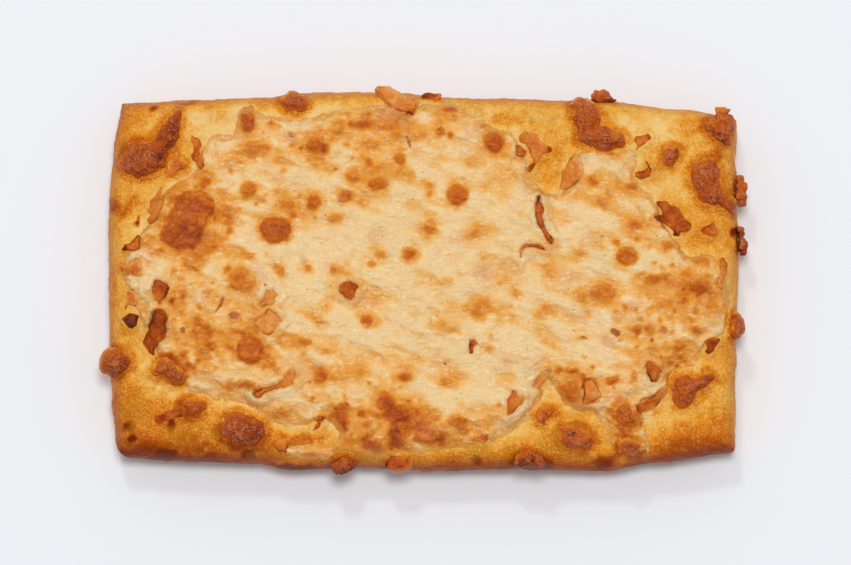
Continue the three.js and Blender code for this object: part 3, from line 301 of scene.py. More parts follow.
def sideDistances(points):
    x, y = points[..., 0], points[..., 1]
    return {
        "top": alongSide("top", x) - y,
        "bottom": y - alongSide("bottom", x),
        "left": x - alongSide("left", y),
        "right": alongSide("right", y) - x,
    }


def insetOf(points):  # distance to the nearest side
    return np.min(list(sideDistances(points).values()), 0)


def doughBase(points):  # the top before its edge rolls down, with the solid's own slow waves
    x, y = points[..., 0], points[..., 1]
    rimHigh, rimWide = dough["rim"]
    rim = rimHigh * smooth(1 - (insetOf(points) - dough["roll"]) / rimWide)
    slow = 0.45 * np.sin(x / 11 + 0.6) * np.cos(y / 9 - 0.4) + 0.25 * np.sin(x / 4.7 - y / 6.1)
    return dough["height"] + rim + slow


def doughTop(points):
    inset = np.clip(insetOf(points), 0, dough["roll"])
    outward = 1 - inset / dough["roll"]
    top = doughBase(points)
    down = (top - dough["bulge"]) * (1 - np.sqrt(1 - outward**2))
    (high, size), (fineHigh, fineSize) = dough["lumps"]
    lumps = high * rough(points, size, 3) + fineHigh * rough(points, fineSize, 4, 2)
    return top - down + lumps * smooth(inset / 1.5)


def plan(u, v):  # a point of the square from -1 to 1 as a point inside the slice's outline
    corners = dough["corners"]
    radius = np.where(
        v > 0,
        np.where(u < 0, corners["topLeft"], corners["topRight"]),
        np.where(u < 0, corners["bottomLeft"], corners["bottomRight"]),
    )
    shareU, shareV = radius / dough["halfLength"], radius / dough["halfWidth"]
    s = np.clip((np.abs(u) - 1 + shareU) / shareU, 0, None)
    t = np.clip((np.abs(v) - 1 + shareV) / shareV, 0, None)
    inCorner = (s > 0) & (t > 0)
    a = np.where(inCorner, np.sign(u) * (1 - shareU + shareU * s * np.sqrt(1 - t**2 / 2)), u)
    b = np.where(inCorner, np.sign(v) * (1 - shareV + shareV * t * np.sqrt(1 - s**2 / 2)), v)
    height = b * dough["halfWidth"]
    x = np.where(a < 0, -a * alongSide("left", height), a * alongSide("right", height))
    y = np.where(b < 0, -b * alongSide("bottom", x), b * alongSide("top", x))
    return np.stack([x, y], -1)


def borderOf(nu, nv):  # a grid's border as (i, j), counter-clockwise from above
    return (
        [(i, 0) for i in range(nu)] + [(nu, j) for j in range(nv)]
        + [(i, nv) for i in range(nu, 0, -1)] + [(0, j) for j in range(nv, 0, -1)]
    )


# where the plan's own origin lies in the frame: its furthest points left and below are the solid's too
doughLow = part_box("dough_base")[0]
shiftX = doughLow.x / mm - min(out for place, out in dough["left"])
shiftY = doughLow.y / mm - min(out for place, out in dough["bottom"])
crispNodes = sorted(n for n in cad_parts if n.startswith("crisp_"))
chickenNodes = sorted(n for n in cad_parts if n.startswith(("chicken_", "peel_")))


def shadeSmooth(mesh):
    mesh.polygons.foreach_set("use_smooth", [True] * len(mesh.polygons))


def setAttributes(mesh, attributes):  # one value at each vertex, for the materials and the scattering
    for key, values in attributes.items():
        mesh.attributes.new(key, "FLOAT", "POINT").data.foreach_set("value", np.asarray(values, np.float32))
    shadeSmooth(mesh)


def addObject(name, data):
    made = bpy.data.objects.new(name, data)
    bpy.context.scene.collection.objects.link(made)
    return made


def addPiece(name, mesh, nodes, finish):  # a visible piece, and the nodes that it stands for
    if finish:
        mesh.materials.append(finish)
    piece = addObject(name, mesh)
    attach(piece, "root")
    if nodes:
        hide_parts(*nodes)
    return piece


def meshOf(name, points, faces, attributes):  # from the slice's own plan in millimetres
    mesh = bpy.data.meshes.new(name)
    mesh.from_pydata(((points + [shiftX, shiftY, 0]) * mm).tolist(), [], faces)
    setAttributes(mesh, attributes)
    return mesh


def linear(red, green, blue):  # a screen colour from 0 to 255 as a linear one
    values = [c / 255 for c in (red, green, blue)]
    return tuple(c / 12.92 if c <= 0.04045 else ((c + 0.055) / 1.055) ** 2.4 for c in values) + (1,)


def setStops(ramp, stops):
    while len(ramp.elements) < len(stops):
        ramp.elements.new(1)
    for element, (place, colour) in zip(ramp.elements, stops):
        element.position = place
        element.color = linear(*colour)


def addNode(tree, kind, settings, inputs):  # settings first, then the values or links of its sockets
    node = tree.nodes.new(kind)
    for key, value in settings.items():
        if key == "stops":
            setStops(node.color_ramp, value)
        else:
            setattr(node, key, value)
    for key, value in inputs.items():
        if isinstance(value, bpy.types.NodeSocket):
            tree.links.new(value, node.inputs[key])
        else:
            node.inputs[key].default_value = value
    return node


def maths(operation, reflected=False):
    def join(self, other):
        first, second = (other, self) if reflected else (self, other)
        return self.paint.add("ShaderNodeMath", {"operation": operation}, {0: first, 1: second})

    return join


class Wire:
    # an output socket, so that shader maths reads as an expression
    def __init__(self, paint, socket):
        self.paint = paint
        self.socket = socket

    __add__, __radd__ = maths("ADD"), maths("ADD", reflected=True)
    __sub__, __rsub__ = maths("SUBTRACT"), maths("SUBTRACT", reflected=True)
    __mul__, __rmul__ = maths("MULTIPLY"), maths("MULTIPLY", reflected=True)


class Paint:
    # a material in the making, with one method that adds any node
    def __init__(self, name, glow=0.0, depth=50.0, shine=0.5):  # light within, how deep in mm, surface shine
        self.material = bpy.data.materials.new(name)
        self.material.use_nodes = True
        self.tree = self.material.node_tree
        self.shader = self.tree.nodes["Principled BSDF"]
        self.shader.inputs["Subsurface Weight"].default_value = glow
        self.shader.inputs["Subsurface Scale"].default_value = depth * mm
        self.shader.inputs["Specular IOR Level"].default_value = shine
        self.coordinates = self.add("ShaderNodeTexCoord", {}, {}, "Object")

    def add(self, kind, settings, inputs, output=0):
        plugs = {key: value.socket if isinstance(value, Wire) else value for key, value in inputs.items()}
        return Wire(self, addNode(self.tree, kind, settings, plugs).outputs[output])

    def attributes(self, *names):
        return [self.add("ShaderNodeAttribute", {"attribute_name": name}, {}, "Fac") for name in names]

    def noise(self, size, detail=2.0, roughness=0.5, stretch=None, turn=0.0):
        vector = self.coordinates
        if stretch:
            given = {"Vector": vector, "Scale": stretch, "Rotation": (0, 0, -math.radians(turn))}
            vector = self.add("ShaderNodeMapping", {}, given)
        inputs = {"Vector": vector, "Scale": 1 / (size * mm), "Detail": detail, "Roughness": roughness}
        return self.add("ShaderNodeTexNoise", {}, inputs)

    def cells(self, size):  # distance from scattered points
        inputs = {"Vector": self.coordinates, "Scale": 1 / (size * mm)}
        return self.add("ShaderNodeTexVoronoi", {}, inputs, "Distance")

    def spread(self, value, low, high):  # 0 up to low, 1 from high on, soft in between
        inputs = {"Value": value, "From Min": low, "From Max": high}
        return self.add("ShaderNodeMapRange", {"interpolation_type": "SMOOTHSTEP"}, inputs)

    def ramp(self, value, stops):
        return self.add("ShaderNodeValToRGB", {"stops": stops}, {"Fac": value}, "Color")

    def mix(self, share, first, second):  # each a wire or a screen colour
        first, second = (c if isinstance(c, Wire) else linear(*c) for c in (first, second))
        return self.add("ShaderNodeMix", {"data_type": "RGBA"}, {0: share, 6: first, 7: second}, 2)

    def finish(self, colour, roughness, height, distance):
        bump = self.add("ShaderNodeBump", {}, {"Height": height, "Strength": 1.0, "Distance": distance * mm})
        for key, wire in (("Base Color", colour), ("Roughness", roughness), ("Normal", bump)):
            self.tree.links.new(wire.socket, self.shader.inputs[key])
        return self.material


# The finishes

def paintDough():
    paint = Paint("bakedDough", glow=0.12, depth=1.2, shine=0.04)
    bake, oil = paint.attributes("bake", "oil")
    patch = paint.noise(6, 3)
    middle = paint.noise(1.7, 3, 0.6)
    speck = paint.noise(0.75, 2, 0.6)
    grain = paint.noise(0.5, 1)
    salt = paint.noise(0.3, 1)
    tone = bake + (patch - 0.5) * 0.22 + (middle - 0.5) * 0.16 + (0.5 - speck) * 0.26 + (salt - 0.5) * 0.16
    crust = paint.ramp(tone, [
        (0.0, (252, 208, 134)), (0.14, (247, 182, 76)), (0.3, (234, 147, 28)), (0.46, (217, 120, 12)),
        (0.62, (194, 93, 8)), (0.8, (160, 66, 6)), (1.0, (122, 44, 4)),
    ])
    amber = paint.spread(oil + (middle - 0.5) * 0.4, 0.15, 0.9)
    crust = paint.mix(amber * 0.6, crust, (204, 136, 20))
    glint = paint.spread(grain * 0.6 + salt * 0.5 + (speck - 0.5) * 0.3, 0.57, 0.68)
    crust = paint.mix(glint * (1 - paint.spread(tone, 0.2, 0.9)) * 0.5, crust, (255, 220, 142))
    roughness = 0.36 - amber * 0.1 + (grain - 0.5) * 0.25
    height = speck * 0.8 + grain * 0.6 + middle * 0.5
    return paint.finish(crust, roughness, height, 0.6)


def paintCheese():
    paint = Paint("meltedCheese", glow=0.35, depth=1.8, shine=0.18)
    toast, thin, pink, scrap, film = paint.attributes("toast", "thin", "pink", "scrap", "film")
    patch = paint.noise(6, 3, 0.55)
    middle = paint.noise(2.2, 3, 0.6)
    fine = paint.noise(0.9, 3, 0.6)
    grain = paint.noise(0.5, 2, 0.6)
    salt = paint.noise(0.28, 1)
    along, across = (
        paint.noise(0.7, 3, 0.65, stretch=(0.35, 1, 1), turn=cheese[way]) for way in ("flow", "crossFlow")
    )
    which = paint.spread(paint.noise(16, 1), 0.42, 0.58)
    strand = across + (along - across) * which
    tone = toast + (middle - 0.5) * 0.14 + (patch - 0.5) * 0.2 + (fine - 0.5) * (toast * 0.2 + 0.12)
    colour = paint.ramp(tone, [
        (0.0, (255, 216, 158)), (0.14, (254, 197, 116)), (0.28, (246, 172, 70)), (0.42, (232, 146, 38)),
        (0.56, (214, 112, 18)), (0.7, (186, 82, 20)), (0.85, (158, 62, 16)), (1.0, (112, 38, 6)),
    ])
    cloud = paint.spread(paint.noise(3.4, 3, 0.6), 0.42, 0.66) * (1 - paint.spread(toast, 0.1, 0.4))
    colour = paint.mix(cloud * 0.3, colour, (250, 194, 138))
    colour = paint.mix(pink * 0.6, colour, (220, 146, 100))
    colour = paint.mix(thin * 0.45, colour, (216, 160, 86))
    glaze = paint.spread(film + (middle - 0.5) * 0.8, 0.2, 0.8)
    colour = paint.mix(glaze * 0.75, colour, (234, 164, 70))
    # painted sheen: pinkish mottled patches on the tops of the darkest browned places
    crown = paint.spread(toast, 0.56, 0.72) * paint.spread(middle + (fine - 0.5) * 0.5, 0.5, 0.68)
    colour = paint.mix(crown * 0.45, colour, (212, 118, 62))
    # painted highlights along the strands: pale cream on the cheese, pinkish on its browned places
    light = paint.spread(strand + (grain - 0.5) * 0.5 + (salt - 0.5) * 0.4, 0.52, 0.7)
    pale = paint.mix(paint.spread(toast, 0.25, 0.6), (255, 236, 198), (230, 152, 96))
    colour = paint.mix(light * (0.75 - toast * 0.6), colour, pale)
    colour = paint.mix(paint.spread(scrap + (fine - 0.5) * 0.8, 0.3, 0.9) * 0.75, colour, (164, 70, 24))
    seed = (1 - paint.spread(paint.cells(2.8), 0.03, 0.065)) * 0.6
    colour = paint.mix(seed, colour, (136, 90, 30))
    roughness = 0.13 + (patch - 0.5) * 0.2
    height = strand * 0.7 + middle * 0.8 + fine * 0.6
    return paint.finish(colour, roughness, height, 0.75)


def paintChicken():
    paint = Paint("smokedChicken", glow=0.2, depth=1.2, shine=0.12)
    roast, rim = paint.attributes("roast", "rim")
    fibre = paint.noise(1.3, 3, 0.6)
    fine = paint.noise(0.6, 2)
    tone = roast + rim * 0.32 + (fibre - 0.5) * 0.6 + (fine - 0.5) * 0.3 + (paint.noise(3, 2) - 0.5) * 0.7
    flesh = paint.ramp(tone, [
        (0.0, (240, 168, 92)), (0.2, (228, 142, 60)), (0.4, (212, 112, 30)),
        (0.6, (184, 78, 10)), (0.8, (140, 44, 4)), (1.0, (76, 20, 2)),
    ])
    glint = paint.spread(fine + (fibre - 0.5) * 0.6, 0.56, 0.7)
    flesh = paint.mix(glint * (0.54 - roast * 0.5), flesh, (250, 180, 106))
    roughness = 0.15 + (fibre - 0.5) * 0.2
    return paint.finish(flesh, roughness, fibre + fine * 0.2, 0.7)


def paintCrisp():
    paint = Paint("crispedCheese", glow=0.05, depth=1, shine=0.13)
    shade, crown = paint.attributes("shade", "crown")
    middle = paint.noise(2.1, 3, 0.6)
    fine = paint.noise(0.9, 3, 0.65)
    grain = paint.noise(0.5, 2, 0.6)
    # painted shade in the small pits on the upward faces
    pits = (1 - paint.spread(paint.cells(1), 0.1, 0.3)) * paint.spread(crown, 0.3, 0.8)
    tone = shade + (middle - 0.5) * 0.6 + (fine - 0.5) * 0.4 + (paint.noise(0.3, 1) - 0.5) * 0.16
    body = paint.ramp(tone, [
        (0.0, (242, 160, 52)), (0.22, (224, 124, 28)), (0.42, (196, 92, 22)),
        (0.62, (168, 70, 24)), (0.8, (134, 48, 12)), (1.0, (84, 27, 4)),
    ])
    # painted sheen: pinkish speckle, strongest on the upward faces
    sheenSpeckle = paint.spread(grain + (middle - 0.5) * 0.8, 0.44, 0.66) * (crown * 0.5 + 0.1)
    colour = paint.mix(sheenSpeckle, body, (222, 136, 84))
    colour = paint.mix(pits * 0.24, colour, (112, 40, 10))
    roughness = 0.24 + (grain - 0.5) * 0.3
    height = middle + fine * 0.8 + grain * 0.4 - pits * 0.3
    return paint.finish(colour, roughness, height, 0.7)


def paintPlain(name, colour, roughness):
    paint = Paint(name)
    fine = paint.noise(0.5, 2)
    shade = paint.mix(paint.spread(fine, 0.3, 0.7) * 0.5, colour, (c * 0.8 for c in colour))
    return paint.finish(shade, roughness + (fine - 0.5) * 0.2, fine, 0.1)


print("finishes")
finishes = {
    "dough": paintDough(),
    "cheese": paintCheese(),
    "chicken": paintChicken(),
    "crisp": paintCrisp(),
    "flour": paintPlain("paleGrain", (246, 200, 112), 0.4),
    "herb": paintPlain("darkFleck", (132, 84, 26), 0.5),
}

# The pieces that lie on top keep the place and outline of their nodes

# voxel is the mesh's fineness; sink stretches a piece down into what it lies on; lumps and grain are each a
# height and a size; crag is the height of its sharp creases
chicken = {
    "voxel": 0.26, "smooth": 4, "sink": 1.25, "lumps": (0.4, 2.2), "grain": (0.14, 0.7), "crag": 0.24,
    # how dark each piece is
    "roast": {
        "top_slab": 0.2, "top_chip": 0.5, "bay_slab": 0.27, "bay_nub": 0.55, "bay_leaf": 0.2,
        "dark_knot": 0.62, "right_chip": 0.55, "upper_fold": 0.58, "middle_dice": 0.55, "left_wing": 0.38,
        "left_point": 0.34, "left_flap": 0.3, "left_dice": 0.6, "edge_dice": 0.84, "corner_strip": 0.66,
        "bottom_block": 0.55, "centre_shard": 0.62, "right_dice": 0.54, "right_rind": 0.46,
        "low_wedge": 0.36, "low_hook": 0.66, "low_strip": 0.3, "low_chip": 0.38, "pale_slab": 0.2,
        "pale_dice": 0.2, "rim_char": 0.7, "rim_strip": 0.4, "grey_dice": 0.3, "tan_leaf": 0.16,
        "bottom_wedge": 0.45, "upper_tail": 0.5, "tip_flake": 0.36, "long_curl": 0.56, "small_arch": 0.58,
        "upper_left": 0.46, "left_curl": 0.66,
    },
    # how much higher the cheese laps over the pieces that it half covers
    "veiled": {
        "top_slab": 0.5, "low_strip": 0.8, "pale_slab": 0.6, "pale_dice": 0.5, "grey_dice": 0.5,
        "tan_leaf": 0.4, "low_chip": 0.3,
    },
    # charred places: x, y, radius, how much
    "chars": [
        (-75, 8.2, 1.1, 0.5), (-75.7, 2.8, 0.9, 0.5), (-74.7, -7, 0.9, 0.6), (-71.8, -6.6, 0.7, 0.6),
        (1.5, 46.2, 2, 0.2), (-3.2, 41.6, 1.4, 0.3), (36.5, 31, 0.6, 0.3), (32.2, 32.4, 1.6, 0.35),
        (27, 28, 1.6, 0.25), (-34, 39, 0.6, 0.5), (-71.6, 20.6, 1.2, 0.35), (-70.6, 26.4, 0.8, 0.4),
        (-58.8, 37.4, 0.7, 0.9), (-53.4, 28.6, 1.6, 0.3), (52, -8.6, 1.2, 0.3), (-12, -46, 3, 0.1),
        (36.2, -11.6, 0.8, 0.3), (-2, 47.3, 2, 0.35), (76, 3.4, 0.7, 0.5), (57, 20, 1.4, 0.25),
        (62, 11.6, 1.4, 0.3), (43, 30.6, 1, 0.3),
    ],
}
crisp = {
    "voxel": 0.28, "smooth": 6, "sink": 1.2, "lumps": (0.6, 3), "grain": (0.18, 0.9), "crag": 0.5,
    # how dark each lump is
    "shade": {
        "left_ball": 0.62, "corner_cluster": 0.62, "corner_bead": 0.34, "top_dome": 0.58, "upper_pair": 0.56,
        "top_crag": 0.5, "corner_nut": 0.42, "upper_nugget": 0.56, "right_ridge": 0.58, "right_heart": 0.56,
        "low_dome": 0.64, "left_knob": 0.52, "strip_ball": 0.52, "bottom_ball": 0.6, "bottom_lump": 0.56,
        "low_button": 0.5, "low_shell": 0.42, "low_crumple": 0.5, "right_ball": 0.56, "wall_crag": 0.46,
        "wall_knot": 0.54, "low_pebble": 0.36,
    },
    # the lumps whose crags are higher than "crag"
    "craggy": {
        "corner_nut": 1.5, "top_crag": 1.3, "wall_crag": 1.2, "wall_knot": 1.2, "low_pebble": 0.9,
        "bottom_lump": 0.8, "bottom_ball": 0.7,
    },
    # grooves between lumps that grew together: x, y, radius, how deep
    "grooves": [
        (43.6, 38.6, 1.5, 1.5), (45.4, 39.6, 1.2, 1), (41.8, 36.9, 1.3, 1.3), (72.8, 23.4, 1.3, 0.8),
        (74.6, 24.6, 1.1, 0.8),
    ],
    # dark holes and creases: x, y, radius, how much
    "chars": [
        (36.8, -38.2, 0.9, 0.5), (49, 36.8, 2.4, -0.22), (-80, -14.5, 3, 0.15), (72.8, 35.6, 1.2, 0.2),
        (74.4, 34.8, 1.4, 0.2), (77, -9, 0.7, 0.4), (47.4, -40.8, 1.4, 0.35), (-66.6, 31, 1.2, 0.3),
        (-62.4, 38, 1.2, 0.25), (35.8, 39.6, 2.4, 0.1), (73.6, 18.6, 1.2, 0.3), (-43.6, -37.6, 3, 0.12),
        (70.5, 41, 0.8, 0.4),
    ],
}


def softCopy(node, style):  # the node's solid as a fine, rounded mesh
    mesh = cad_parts[node].data.copy()
    work = bmesh.new()
    work.from_mesh(mesh)
    bmesh.ops.remove_doubles(work, verts=work.verts, dist=1e-6)
    top = max(v.co.z for v in work.verts)
    for vert in work.verts:
        vert.co.z = top - (top - vert.co.z) * style["sink"]
    work.to_mesh(mesh)
    work.free()
    mesh.materials.clear()
    solid = addObject(node, mesh)
    remesh = solid.modifiers.new("remesh", "REMESH")
    remesh.mode = "VOXEL"
    remesh.voxel_size = style["voxel"] * mm
    relax = solid.modifiers.new("relax", "SMOOTH")
    relax.factor = 0.5
    relax.iterations = style["smooth"]
    seen = solid.evaluated_get(bpy.context.evaluated_depsgraph_get())
    made = bpy.data.meshes.new_from_object(seen)
    bpy.data.objects.remove(solid)
    return made


def distanceFrom(mask, step, reach):  # distance of each cell from the nearest marked one
    away = np.where(mask, 0, 1e3)
    sides = [d for d in itertools.product((-1, 0, 1), repeat=2) if any(d)]
    for _ in range(int(reach / step) + 1):
        for side in sides:
            away = np.minimum(away, np.roll(away, side, (0, 1)) + step * math.hypot(*side))
    return away


class Plot:
    # the plan in small squares, marked where pieces stand, and the distance from them
    step = 0.4
    margin = 6
    reach = 5  # how far the distance is measured
    carry = 7  # how many squares a piece's height is carried outward

    def __init__(self, low, high):
        self.low = np.array(low) - self.margin
        size = ((np.array(high) + self.margin - self.low) / self.step).astype(int) + 2
        self.mask = np.zeros(size, bool)
        self.top = np.zeros(size)

    def mark(self, places, raised=0):
        column, row = ((places[:, :2] - self.low) / self.step).astype(int).T
        self.mask[column, row] = True
        np.maximum.at(self.top, (column, row), places[:, 2] + raised)

    def spreadTops(self):
        for _ in range(self.carry):
            near = [np.roll(self.top, move, axis) for axis in (0, 1) for move in (-1, 1)]
            self.top = np.where(self.mask, self.top, np.maximum.reduce(near))
        return self

    def measure(self):
        self.outside = distanceFrom(self.mask, self.step, self.reach)
        self.inside = distanceFrom(~self.mask, self.step, self.reach)
        return self

    def read(self, grid, places):
        at = (places[:, :2] - self.low) / self.step - 0.5
        at = np.clip(at, 0, np.array(grid.shape) - 1.001)
        i, j = np.floor(at).astype(int).T
        s, t = (at - np.floor(at)).T
        near = grid[i, j] * (1 - s) * (1 - t) + grid[i + 1, j] * s * (1 - t)
        return near + grid[i, j + 1] * (1 - s) * t + grid[i + 1, j + 1] * s * t


plots = {kind: Plot((-86, -52), (86, 52)) for kind in ("crisp", "chicken")}  # wider than the slice


# a node's fine mesh with its lumps pushed out, and for its vertices: place on the plan, normal, distance in
# from the outline, and push
def dress(node, style, crag, seed):
    mesh = softCopy(node, style)
    count = len(mesh.vertices)
    place = np.empty(count * 3, np.float32)
    normal = np.empty(count * 3, np.float32)
    mesh.vertices.foreach_get("co", place)
    mesh.vertices.foreach_get("normal", normal)
    place = place.reshape(-1, 3).astype(float) / mm
    normal = normal.reshape(-1, 3)
    low, high = place.min(0), place.max(0)
    place[:, :2] -= [shiftX, shiftY]
    (lumpHigh, lumpSize), (grainHigh, grainSize) = style["lumps"], style["grain"]
    push = lumpHigh * rough(place, lumpSize, seed, 2) + grainHigh * rough(place, grainSize, seed + 5, 2)
    push = push + crag * (pillow(place, 2.4, seed + 9) - 0.2)
    plot = Plot(place[:, :2].min(0), place[:, :2].max(0))
    plot.mark(place)
    inside = plot.measure().read(plot.inside, place)
    moved = np.clip(place + normal * push[:, None] + [shiftX, shiftY, 0], low, high)
    mesh.vertices.foreach_set("co", (moved * mm).astype(np.float32).ravel())
    return mesh, place, normal, inside, push


def spotsAt(place, spots):  # the listed places, added up, each with a torn edge
    total = np.zeros(len(place))
    for x, y, radius, amount in spots:
        away = inEllipse(place, x, y, radius, radius) * (1 + 0.3 * rough(place, 0.9, 97, 2))
        total += amount * smooth(1.4 - away)
    return total


def lower(mesh, depths):
    for vertex, depth in zip(mesh.vertices, depths.tolist()):
        vertex.co.z -= depth * mm


print("crisped cheese")
for seed, node in enumerate(crispNodes):
    short = node.removeprefix("crisp_")
    crag = crisp["craggy"].get(short, crisp["crag"])
    mesh, place, normal, inside, push = dress(node, crisp, crag, 100 + seed)
    groove = spotsAt(place, crisp["grooves"])
    lower(mesh, groove * smooth(normal[:, 2] + 0.4))
    plots["crisp"].mark(place)
    # painted shade: darker in the recesses between the crags of craggy lumps
    crease = smooth((-0.12 - push / (crag + 0.5)) / 0.3) * (crag > 0.7)
    skirt = smooth(1 - (inside - 0.3) / 1.5 + 0.3 * rough(place, 2, 92, 2)) * (crag < 0.7)  # its paler foot
    sides = normal[:, 0] * 0.08 - normal[:, 1] * 0.2  # painted shade: darker on faces toward the front and right, paler on faces toward the back and left
    shade = crisp["shade"][short] - 0.4 * skirt + sides + 0.25 * crease + 0.1 * rough(place, 4, 90)
    shade += spotsAt(place, crisp["chars"]) - 0.12 * groove
    crown = smooth((normal[:, 2] - 0.2) / 0.5) * (1 - skirt)
    setAttributes(mesh, {"shade": shade, "crown": crown})
    addPiece("crisp." + short, mesh, [node], finishes["crisp"])

print("chicken and peel")
for seed, node in enumerate(chickenNodes):
    kind, short = node.split("_", 1)
    mesh, place, normal, inside, push = dress(node, chicken, chicken["crag"], 200 + seed)
    plots["chicken"].mark(place, chicken["veiled"].get(short, 0))
    edge = smooth(1 - (inside + 0.5 * rough(place, 1.6, 95) - 0.2) / 1.1)
    steep = smooth((0.5 - normal[:, 2]) / 0.8)
    # painted light: the steep sides are paler, to lift the shade on them
    roast = chicken["roast"][short] + 0.12 * rough(place, 3, 96) - 0.12 * steep
    roast += spotsAt(place, chicken["chars"])
    setAttributes(mesh, {"roast": roast, "rim": edge * (2 * waves(place, 3.5, 98) - 0.2)})
    addPiece(kind + "." + short, mesh, [node], finishes["chicken"])

for plot in plots.values():
    plot.measure().spreadTops()


def fromPieces(kind, points):  # distance to the nearest piece of a kind
    return plots[kind].read(plots[kind].outside, points)


def beside(kind, points, reach, wobble=0):  # 1 at the pieces of a kind, down to 0 at the reach
    return smooth(1 - (fromPieces(kind, points) + wobble) / reach)


# The dough

def marks(points, spots, fade, seed):  # the listed places, each fading out at a torn edge
    total = np.zeros(len(points))
    torn = 1 + 0.3 * rough(points[:, :2], 1.5, seed, 2)
    for x, y, long, wide, amount, *turn in spots:
        near = within(points, x, y, 22)
        away = inEllipse(points[near], x, y, long, wide, *turn) * torn[near]
        total[near] = np.maximum(total[near], amount * smooth((1 + fade / 2 - away) / fade))
    return total


def doughBakeAndShading(points):  # how brown the dough is, with painted shade along its sides
    flat = shifted(points, 1.2, 4, 14)
    fade = smooth((points[:, 2] - 5) / 9)  # what lies on top fades out on the way down the side
    tone = np.full(len(points), dough["tone"])
    sides = []
    # each side's tone: the crust's own bake and painted shade, darker along the bottom side
    for side, distance in sideDistances(points).items():
        strength, reach = dough["bake"][side]
        ragged = distance + 1.5 * rough(flat, 6, 15, 2)
        sides.append(strength * (0.6 * smooth(1 - ragged / reach) + 0.3 * smooth(1 - distance / 2.4)))
    tone += np.max(sides, 0)
    for x, y, long, wide, amount in dough["patches"]:
        away = inEllipse(flat, x, y, long, wide) * (1 + 0.3 * waves(points[:, :2], 1.5, 12))
        tone += amount * smooth(1.4 - away) * fade
    uneven = rough(points, 9, 11) + rough(points, 1.8, 13, 2) + (1 - fade) * rough(points, 5, 17)
    return tone + 0.1 * uneven


def roundCurve(points, steps):  # a closed smooth curve through the points
    p = np.array(points, float)
    before, after, later = np.roll(p, 1, 0), np.roll(p, -1, 0), np.roll(p, -2, 0)
    t = (np.arange(steps) / steps)[None, :, None]
    p, before, after, later = (a[:, None, :] for a in (p, before, after, later))
    curve = 0.5 * (
        2 * p + (after - before) * t + (2 * before - 5 * p + 4 * after - later) * t**2
        + (3 * p - before - 3 * after + later) * t**3
    )
    return curve.reshape(-1, 2)


shoreline = roundCurve(cheese["edge"], 4)


def cheeseDepth(points):  # distance in from the cheese's edge; negative outside
    nearest = np.full(len(points), 1e9)
    inside = np.zeros(len(points), bool)
    x, y = points.T
    for a, b in zip(shoreline, np.roll(shoreline, -1, 0)):
        way = b - a
        share = np.clip(((x - a[0]) * way[0] + (y - a[1]) * way[1]) / (way @ way), 0, 1)
        nearest = np.minimum(nearest, np.hypot(a[0] + share * way[0] - x, a[1] + share * way[1] - y))
        if a[1] != b[1]:
            crossing = ((a[1] > y) != (b[1] > y)) & (x < a[0] + (y - a[1]) * way[0] / way[1])
            inside ^= crossing
    return np.where(inside, nearest, -nearest)


def buildDough():
    nu, nv = dough["cells"]
    even = [np.linspace(-1, 1, n + 1) for n in (nu, nv)]
    u, v = [0.72 * e + 0.28 * np.sin(e * math.pi / 2) for e in even]  # closer together at the edges
    grid = plan(*np.meshgrid(u, v))
    half = np.array([dough["halfLength"], dough["halfWidth"]])
    top = (grid * (1 - dough["roll"] / half)).reshape(-1, 2)
    rows = [np.column_stack([top, doughTop(top)])]
    ring = borderOf(nu, nv)
    rim = np.array([grid[j, i] for i, j in ring])
    for k in range(1, dough["rollRows"] + 1):
        turn = math.pi / 2 * k / dough["rollRows"]
        flat = rim * (1 - dough["roll"] * (1 - math.sin(turn)) / half)
        height = doughTop(flat) if k < dough["rollRows"] else np.full(len(flat), dough["bulge"])
        rows.append(np.column_stack([flat, height]))
    for k in range(1, dough["footRows"] + 1):
        turn = math.pi / 2 * k / dough["footRows"]
        flat = rim * (1 - dough["foot"] * (1 - math.cos(turn)) / half)
        rows.append(np.column_stack([flat, np.full(len(flat), dough["bulge"] * (1 - math.sin(turn)))]))
    rows.append(np.array([[0, 0, 0]]))
    points = np.concatenate(rows)

    # the side is uneven, more in its middle than at the base
    flat = points[:, :2].copy()
    outward = flat / np.maximum(np.linalg.norm(flat, axis=1, keepdims=True), 1)
    side = smooth(1 - insetOf(flat) / 1.8) * smooth(points[:, 2] / 2)
    push = side * (0.34 * rough(points, 3.4, 21) + 0.2 * rough(points, 1.2, 22, 2) - 0.05)
    points[:, :2] += outward * push[:, None]
    collar = sum(high * beside(kind, flat, wide) for kind, (high, wide) in dough["collar"].items())
    points[:, 2] += collar * smooth((points[:, 2] - 12) / 4)

    at = np.arange((nu + 1) * (nv + 1)).reshape(nv + 1, nu + 1)
    faces = np.stack([at[:-1, :-1], at[:-1, 1:], at[1:, 1:], at[1:, :-1]], -1).reshape(-1, 4).tolist()
    above = np.array([at[j, i] for i, j in ring])
    start = at.size
    for _ in range(dough["rollRows"] + dough["footRows"]):
        below = start + np.arange(len(ring))
        faces += np.stack([above, below, np.roll(below, -1), np.roll(above, -1)], -1).tolist()
        above = below
        start += len(ring)
    faces += [(a, start, b) for a, b in zip(above.tolist(), np.roll(above, -1).tolist())]

    # browner at its base and round what lies on it, paler beside the cheese
    bake = doughBakeAndShading(points) + 0.14 * smooth(1 - points[:, 2] / 6)
    upper = smooth((points[:, 2] - 8) / 7)
    bake += 0.28 * beside("crisp", flat, 1.6, 0.7 * rough(flat, 2, 23, 2)) * upper
    bake += 0.04 * beside("chicken", flat, 1.5) * upper
    shore = cheeseDepth(flat)
    oil = marks(points, dough["amber"], 0.9, 16) * (0.7 + 0.5 * rough(flat, 3, 24, 2)) * upper
    bake -= 0.14 * smooth(1 + (shore + rough(flat, 4, 25)) / 4) * upper
    seen = smooth(-shore / 1.5) * smooth(fromPieces("crisp", flat) / 0.8) * smooth((points[:, 2] - 11) / 3)
    bare = seen * smooth(1.6 - 2 * bake)
    mesh = meshOf("doughBase", points, faces, {"bake": bake, "oil": oil, "bare": bare})
    return addPiece("doughBase", mesh, ["dough_base"], finishes["dough"])


# The melted cheese

